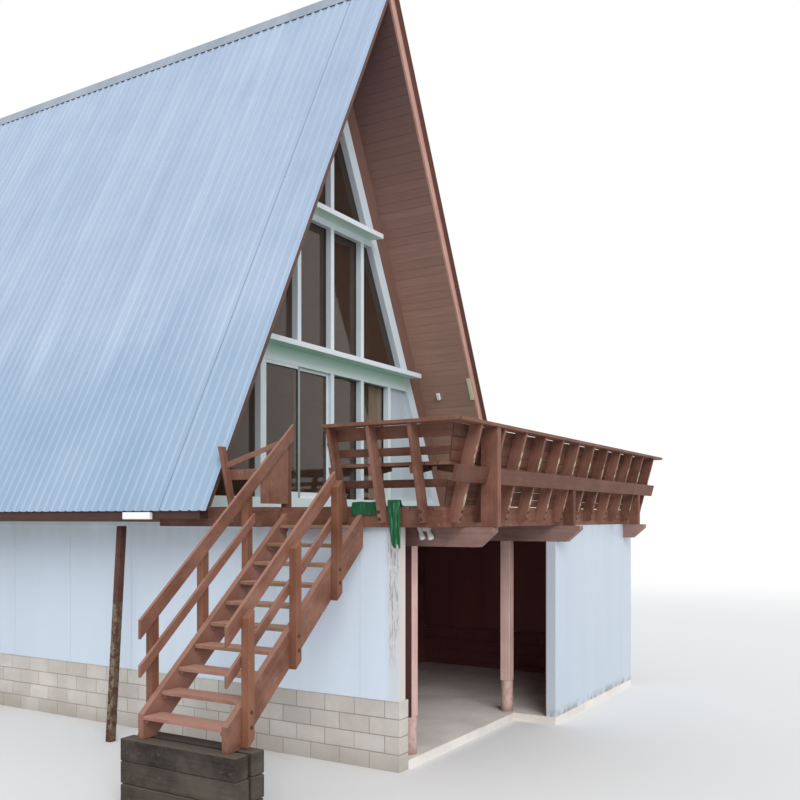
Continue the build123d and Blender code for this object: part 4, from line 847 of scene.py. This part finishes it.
# The glass is clear to the light that falls on the room behind it, and tinted to the eye.
glass, place = new_material("window_glass")
film = noise(place, 3.0, 4.0)
tree = place.id_data
tinted_pane = coat(
    blend(film, (162, 142, 124), (176, 158, 140)), spread(film, 0.01, 0.05), film, 0.0004,
    Transmission_Weight=0.96, IOR=1.45, Specular_IOR_Level=0.2)
clear_pane = add(tree, "BsdfTransparent", {"Color": (0.84, 0.82, 0.78, 1)})
path = add(tree, "LightPath").outputs
lets_light_in = calculate("MAXIMUM", path["Is Shadow Ray"], path["Is Diffuse Ray"])
add(tree, "OutputMaterial", {"Surface": mixed_shader(lets_light_in, tinted_pane, clear_pane)})
finish_node("front_glass", glass)
finish_node("rear_glass", glass)

gasket = speckled("dark_gasket", (38, 40, 42), (70, 70, 70), 0.7, 0.0004, 60.0)


def ring_boxes(left, right, bottom, top, front, back, width):
    """Low and high corners of the four bars of an upright frame, butted at the corners."""
    low = [(left, front, bottom), (right - width, front, bottom),
           (left + width, front, bottom), (left + width, front, top - width)]
    high = [(left + width, back, top), (right, back, top),
            (right - width, back, bottom + width), (right - width, back, top)]
    return low, high


gasket_width, gasket_depth = 0.012, 0.010
gasket_low, gasket_high = [], []
for left, right, bottom, top, front in (
    (-1.630, -0.8825, 3.190, 5.035, -0.034), (-0.8375, -0.090, 3.190, 5.035, 0.015),
    (0.045, 0.815, 3.100, 5.080, 0.046), (0.905, 1.675, 3.100, 5.080, 0.046),
    (-0.815, -0.045, 5.380, 7.385, 0.046), (0.045, 0.815, 5.380, 7.385, 0.046),
):
    low, high = ring_boxes(left, right, bottom, top, front, front + gasket_depth, gasket_width)
    gasket_low += low
    gasket_high += high
window_gaskets = mesh_object("window_gaskets", *boxes(gasket_low, gasket_high))
fitted(window_gaskets, gasket, "door_frame")

door_pull = bevelled(mesh_object("door_pull", *boxes(
    [(-0.076, -0.012, 3.95), (-0.076, -0.012, 4.13), (-0.080, -0.028, 3.93)],
    [(-0.058, 0.008, 3.97), (-0.058, 0.008, 4.15), (-0.054, -0.010, 4.17)],
)), 0.003)
fitted(door_pull, gasket, "door_frame")

# Curtain: pale cloth gathered to one side behind the right pane. It hangs from the rail box at the header,
# and its folds sway more towards the foot.


def grid_sheet(name, x, y, z):
    """A smooth sheet from three grids of places, with a face between each four neighbours."""
    rows, columns = x.shape
    corner = (np.arange(rows - 1)[:, None] * columns + np.arange(columns - 1)[None]).ravel()
    faces = np.stack([corner, corner + 1, corner + columns + 1, corner + columns], 1)
    sheet = mesh_object(name, np.stack([x, y, z], -1).reshape(-1, 3), faces)
    sheet.data.polygons.foreach_set("use_smooth", np.ones(len(faces), bool))
    return sheet


# The fold runs five times round, unevenly: y is its sine, and x moves by the sine of twice the fold.
curtain_low, curtain_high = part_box("curtain")
across, down = np.meshgrid(np.linspace(0, 1, 241), np.linspace(0, 1, 60), indexing="ij")
fold = 2 * np.pi * 5.0 * across + 0.8 * np.sin(5 * across)
sway = 0.006 + 0.010 * down
curtain_x = curtain_low.x + (curtain_high.x - curtain_low.x) * across + 0.006 * np.sin(2 * fold) * down
curtain_y = (curtain_low.y + curtain_high.y) / 2 + sway * np.sin(fold + 0.5 * np.sin(3 * down)) + 0.004
curtain_z = curtain_high.z - 0.001 + (curtain_low.z - curtain_high.z + 0.001) * down
curtain = grid_sheet("gathered_curtain", curtain_x, curtain_y, curtain_z)
cloth = speckled(
    "pale_curtain_cloth", (206, 210, 212), (228, 230, 230), 0.85, 0.0006, 1.0, stretch=(900.0, 900.0, 120.0))
fitted(curtain, cloth, "curtain_cloth", "curtain")

# Turf: green outdoor carpet on the deck. A flap is folded over the left rim between two supports, and a
# torn strip of it hangs down the wall beside the carport.

turf, place = new_material("green_turf")
tufts = noise(place, 260.0, 4.0, 0.7)
pile = noise(place, 1.0, 4.0, stretch=(60.0, 60.0, 5.0))
tone = blend(tufts, (12, 58, 36), (40, 116, 74))
tone = blend(patchy(place, 0.12, 0.5, 0.14), tone, (22, 80, 54), 0.4)
tone = blend(between(pile, 0.54, 0.66), tone, (96, 168, 132), 0.55)
surface(tone, 0.9, tufts, 0.006)


def turf_piece(name, x, y, z, *nodes):
    """A sheet of turf 6 mm thick from three grids of places."""
    piece = grid_sheet(name, x, y, z)
    modifier = piece.modifiers.new("pile", "SOLIDIFY")
    modifier.thickness = 0.006
    modifier.offset = 0.0
    fitted(piece, turf, "turf", *nodes)
    return piece


def laid_turf(name, left, right, front, back, columns, rows, flat, *nodes):
    """A flat piece of turf on the deck. Its height ripples by 1.2 mm: the sine of nine times x, times that of
    seven times y."""
    x, y = np.meshgrid(np.linspace(left, right, columns), np.linspace(front, back, rows), indexing="ij")
    piece = turf_piece(name, x, y, 2.9245 + 0.0012 * np.sin(9 * x) * np.sin(7 * y), *nodes)


laid_turf("turf_carpet", -3.115, 3.305, -3.825, -0.095, 160, 90, (6.42, 3.73), "deck_turf")
laid_turf("turf_carpet_edge", -3.305, -3.115, -3.825, -1.703, 8, 52, (0.19, 2.122))
laid_turf("turf_carpet_wing", -3.70, -3.13, -1.56, -0.09, 20, 40, (0.57, 1.47))


def rounded_path(knots, times_cut=3):
    """Corner cutting: each stretch between two knots gives the points at a quarter and three quarters of it,
    and the ends stay, which rounds the path a little more each time. Gives the path and its length."""
    path = np.asarray(knots, float)
    for _ in range(times_cut):
        start, end = path[:-1], path[1:]
        cut = np.stack([0.75 * start + 0.25 * end, 0.25 * start + 0.75 * end], 1).reshape(-1, 2)
        path = np.concatenate([path[:1], cut, path[-1:]])
    return path, float(np.linalg.norm(np.diff(path, axis=0), axis=1).sum())


# The flap's outline runs over the rim in X and Z, and is carried 390 mm along Y with small waves.
flap_path, flap_length = rounded_path([
    (-3.210, 2.9285), (-3.275, 2.932), (-3.300, 2.958), (-3.328, 2.980), (-3.352, 2.968), (-3.358, 2.910),
    (-3.354, 2.838),
])
flap_width = 0.390
out = np.linspace(0, 1, 60)
flap_x = flap_path[:, :1] + 0.004 * np.sin(14 * out)[None]
flap_y = np.broadcast_to(-3.070 + flap_width * out, flap_x.shape)
flap_z = flap_path[:, 1:] + 0.005 * np.sin(11 * out)[None] * np.linspace(0, 1, len(flap_path))[:, None]
turf_flap = turf_piece("turf_flap", flap_x, flap_y, flap_z)

# The strip follows a path that rises over the rim and falls down the wall. It narrows towards its foot, where
# a bell curve across it lifts the edge between two points of unequal length.
strip_path, strip_length = rounded_path([
    (-3.215, 2.929), (-3.285, 2.934), (-3.315, 2.972), (-3.345, 3.000), (-3.370, 2.982), (-3.376, 2.90),
    (-3.380, 2.78), (-3.382, 2.66), (-3.384, 2.55), (-3.385, 2.47),
])
fall, wide = np.meshgrid(np.linspace(0, 1, len(strip_path)), np.linspace(-1, 1, 32), indexing="ij")
half = 0.074 + 0.006 * np.sin(np.pi * fall) - 0.026 * fall**3
fork = 0.055 * np.exp(-((wide + 0.2) / 0.28) ** 2) + 0.075 * np.clip(wide - 0.5, 0, 1)
strip_x = strip_path[:, :1] - 0.007 * np.sin(8 * wide + 2 * fall) * np.clip(3 * fall - 0.6, 0, 1)
strip_y = -3.208 - 0.078 * fall + half * wide
turf_strip = turf_piece("turf_strip", strip_x, strip_y, strip_path[:, 1:] + fork * fall**4)

# Carport: the faded timber posts stand on short steel pipes. The pipes are as pale as the posts, with patches
# of rust, and dirty near the ground.

pipe_steel, place = new_material("worn_pipe")
rust = patchy(place, 0.06, 0.60, 0.12)
foot = between(axes_of(place)[2], 0.24, 0.10)
tone = blend(rust, (206, 176, 170), (176, 138, 128))
surface(blend(foot, tone, (120, 96, 84), 0.6), 0.6, rust, 0.0015, Metallic=0.1)
finish_node("post_pipes", pipe_steel)

# Bolts: two round heads hold the foot of each rail support to the rim board, and there are two more on each
# stair post.


def bolt_heads(name, centres, normals, radius=0.014, steps=8):
    """Low domes on washers: rings of points about each normal, at pairs of a share of the radius and a lift,
    closed by a tip and a flat base."""
    centres, normals = np.asarray(centres, float), np.asarray(normals, float)
    normals /= np.linalg.norm(normals, axis=1)[:, None]
    helper = np.where(np.abs(normals[:, 2:]) > 0.9, [[1.0, 0.0, 0.0]], [[0.0, 0.0, 1.0]])
    first = np.cross(normals, helper)
    first /= np.linalg.norm(first, axis=1)[:, None]
    second = np.cross(normals, first)
    turn = (np.arange(steps) * 2 * np.pi / steps)[None, :, None]
    circle = np.cos(turn) * first[:, None] + np.sin(turn) * second[:, None]
    profile = ((1.5, -0.002), (1.5, 0.0025), (1.0, 0.003), (0.85, 0.0065), (0.5, 0.009))
    rings = [centres[:, None] + radius * share * circle + lift * normals[:, None] for share, lift in profile]
    points = np.concatenate(rings + [(centres + 0.0098 * normals)[:, None]], 1)
    faces = repeated(head_faces(len(profile), steps), points.shape[1], len(centres))
    return mesh_object(name, points.reshape(-1, 3), faces)


deck_half_width, deck_front, rim_bottom = 3.33, -3.85, 2.748
lean = math.tan(math.radians(14.7))
front_supports = [-3.19 + 0.59 * number for number in range(12)]
left_supports = [-2.59, -3.105, -3.62]
right_supports = [-1.335 - 0.515 * number for number in range(5)]
centres, normals = [], []
for level in (2.785, 2.865):
    reach = 0.100 + (level - rim_bottom) * lean
    centres += [(x, deck_front - reach, level) for x in front_supports]
    normals += [(0, -1, -0.262)] * len(front_supports)
    centres += [(-deck_half_width - reach, y, level) for y in left_supports]
    normals += [(-1, 0, -0.262)] * len(left_supports)
    centres += [(deck_half_width + reach, y, level) for y in right_supports]
    normals += [(1, 0, -0.262)] * len(right_supports)
for x in (-5.3305, -4.6185, -3.9065):
    nosing = 2.717 + (x + 3.472) * 203 / 232
    for face, side in ((-1.589, 1), (-2.909, -1)):
        centres += [(x, face, nosing - 0.08), (x, face, nosing - 0.22)]
        normals += [(0, side, 0)] * 2
support_bolts = bolt_heads("support_bolts", centres, normals)
bolt_iron = speckled("dark_bolt_iron", (52, 40, 38), (112, 76, 58), 0.7, 0.0006, 120.0, Metallic=0.5)
fitted(support_bolts, bolt_iron, "deck_wood")

# Fittings: twin white floodlights on the left beam, a white service box at the eave, and a small lamp and a
# pale repair board on the right soffit.

lamp_white, place = new_material("white_lamp_shell")
dust = patchy(place, 0.03, 0.55, 0.1)
surface(blend(dust, (252, 252, 250), (224, 222, 216), 0.3), 0.3, dust, 0.0003)


def turned(name, start, axis, profile, steps=32):
    """A closed surface of revolution. A profile pair is a radius and a distance along the axis."""
    axis = np.asarray(axis, float) / np.linalg.norm(axis)
    first = np.cross(axis, [0.0, 0.0, 1.0] if abs(axis[2]) < 0.9 else [1.0, 0.0, 0.0])
    first /= np.linalg.norm(first)
    second = np.cross(axis, first)
    turn = np.linspace(0, 2 * np.pi, steps, endpoint=False)
    circle = np.cos(turn)[:, None] * first + np.sin(turn)[:, None] * second
    rings = [np.asarray(start) + radius * circle + axis * distance for radius, distance in profile]
    ring = np.arange(steps)
    sides = ring_faces(len(profile), steps).tolist()
    caps = [ring[::-1], ring + steps * (len(profile) - 1)]
    piece = mesh_object(name, np.concatenate(rings), sides + caps)
    piece.data.polygons.foreach_set("use_smooth", np.arange(len(sides) + 2) < len(sides))
    return piece


shell = ((0.014, -0.012), (0.020, -0.006), (0.0225, 0.010), (0.0225, 0.055), (0.027, 0.075), (0.034, 0.098),
         (0.0365, 0.118), (0.036, 0.130), (0.031, 0.139), (0.020, 0.144), (0.008, 0.146))
for number, y in enumerate((-3.399, -3.291)):
    lamp = turned(f"floodlight_head_{number}", (-2.9065, y, 2.690), (-0.05, -0.45, -1.0), shell)
    fitted(lamp, lamp_white, "lamp_white")
plate = mesh_object("floodlight_plate", *boxes([(-2.890, -3.428, 2.6475)], [(-2.870, -3.268, 2.6925)]))
fitted(bevelled(plate, 0.006, 3), lamp_white, "lamp_white", "floodlight")
fitted(eased_boards("eave_box", 0.006), lamp_white, "box_white", "eave_box")


def slope_block(name, along, across, depth, ease):
    """A block on the right roof slope: box corners (along the slope, along the building, depth) are carried
    to their places by slope_points, which keeps the faces outward."""
    corners, faces = boxes([(along[0], across[0], depth[0])], [(along[1], across[1], depth[1])])
    x, z = slope_points(1, corners[:, 0], corners[:, 2])
    return bevelled(mesh_object(name, np.stack([x, corners[:, 1], z], 1), faces), ease, 3)


soffit_lamp = slope_block("soffit_lamp", (2.415, 2.540), (-0.437, -0.375), (0.150, 0.205), 0.012)
fitted(soffit_lamp, lamp_white, "lamp_white")

repair_board = slope_block("soffit_repair_board", (2.365, 2.765), (-1.104, -1.030), (0.149, 0.166), 0.003)
cream = speckled("cream_repair_paint", (226, 216, 184), (240, 232, 206), 0.6, 0.0006, 40.0, 4.0)
fitted(repair_board, cream, "brown_wood")
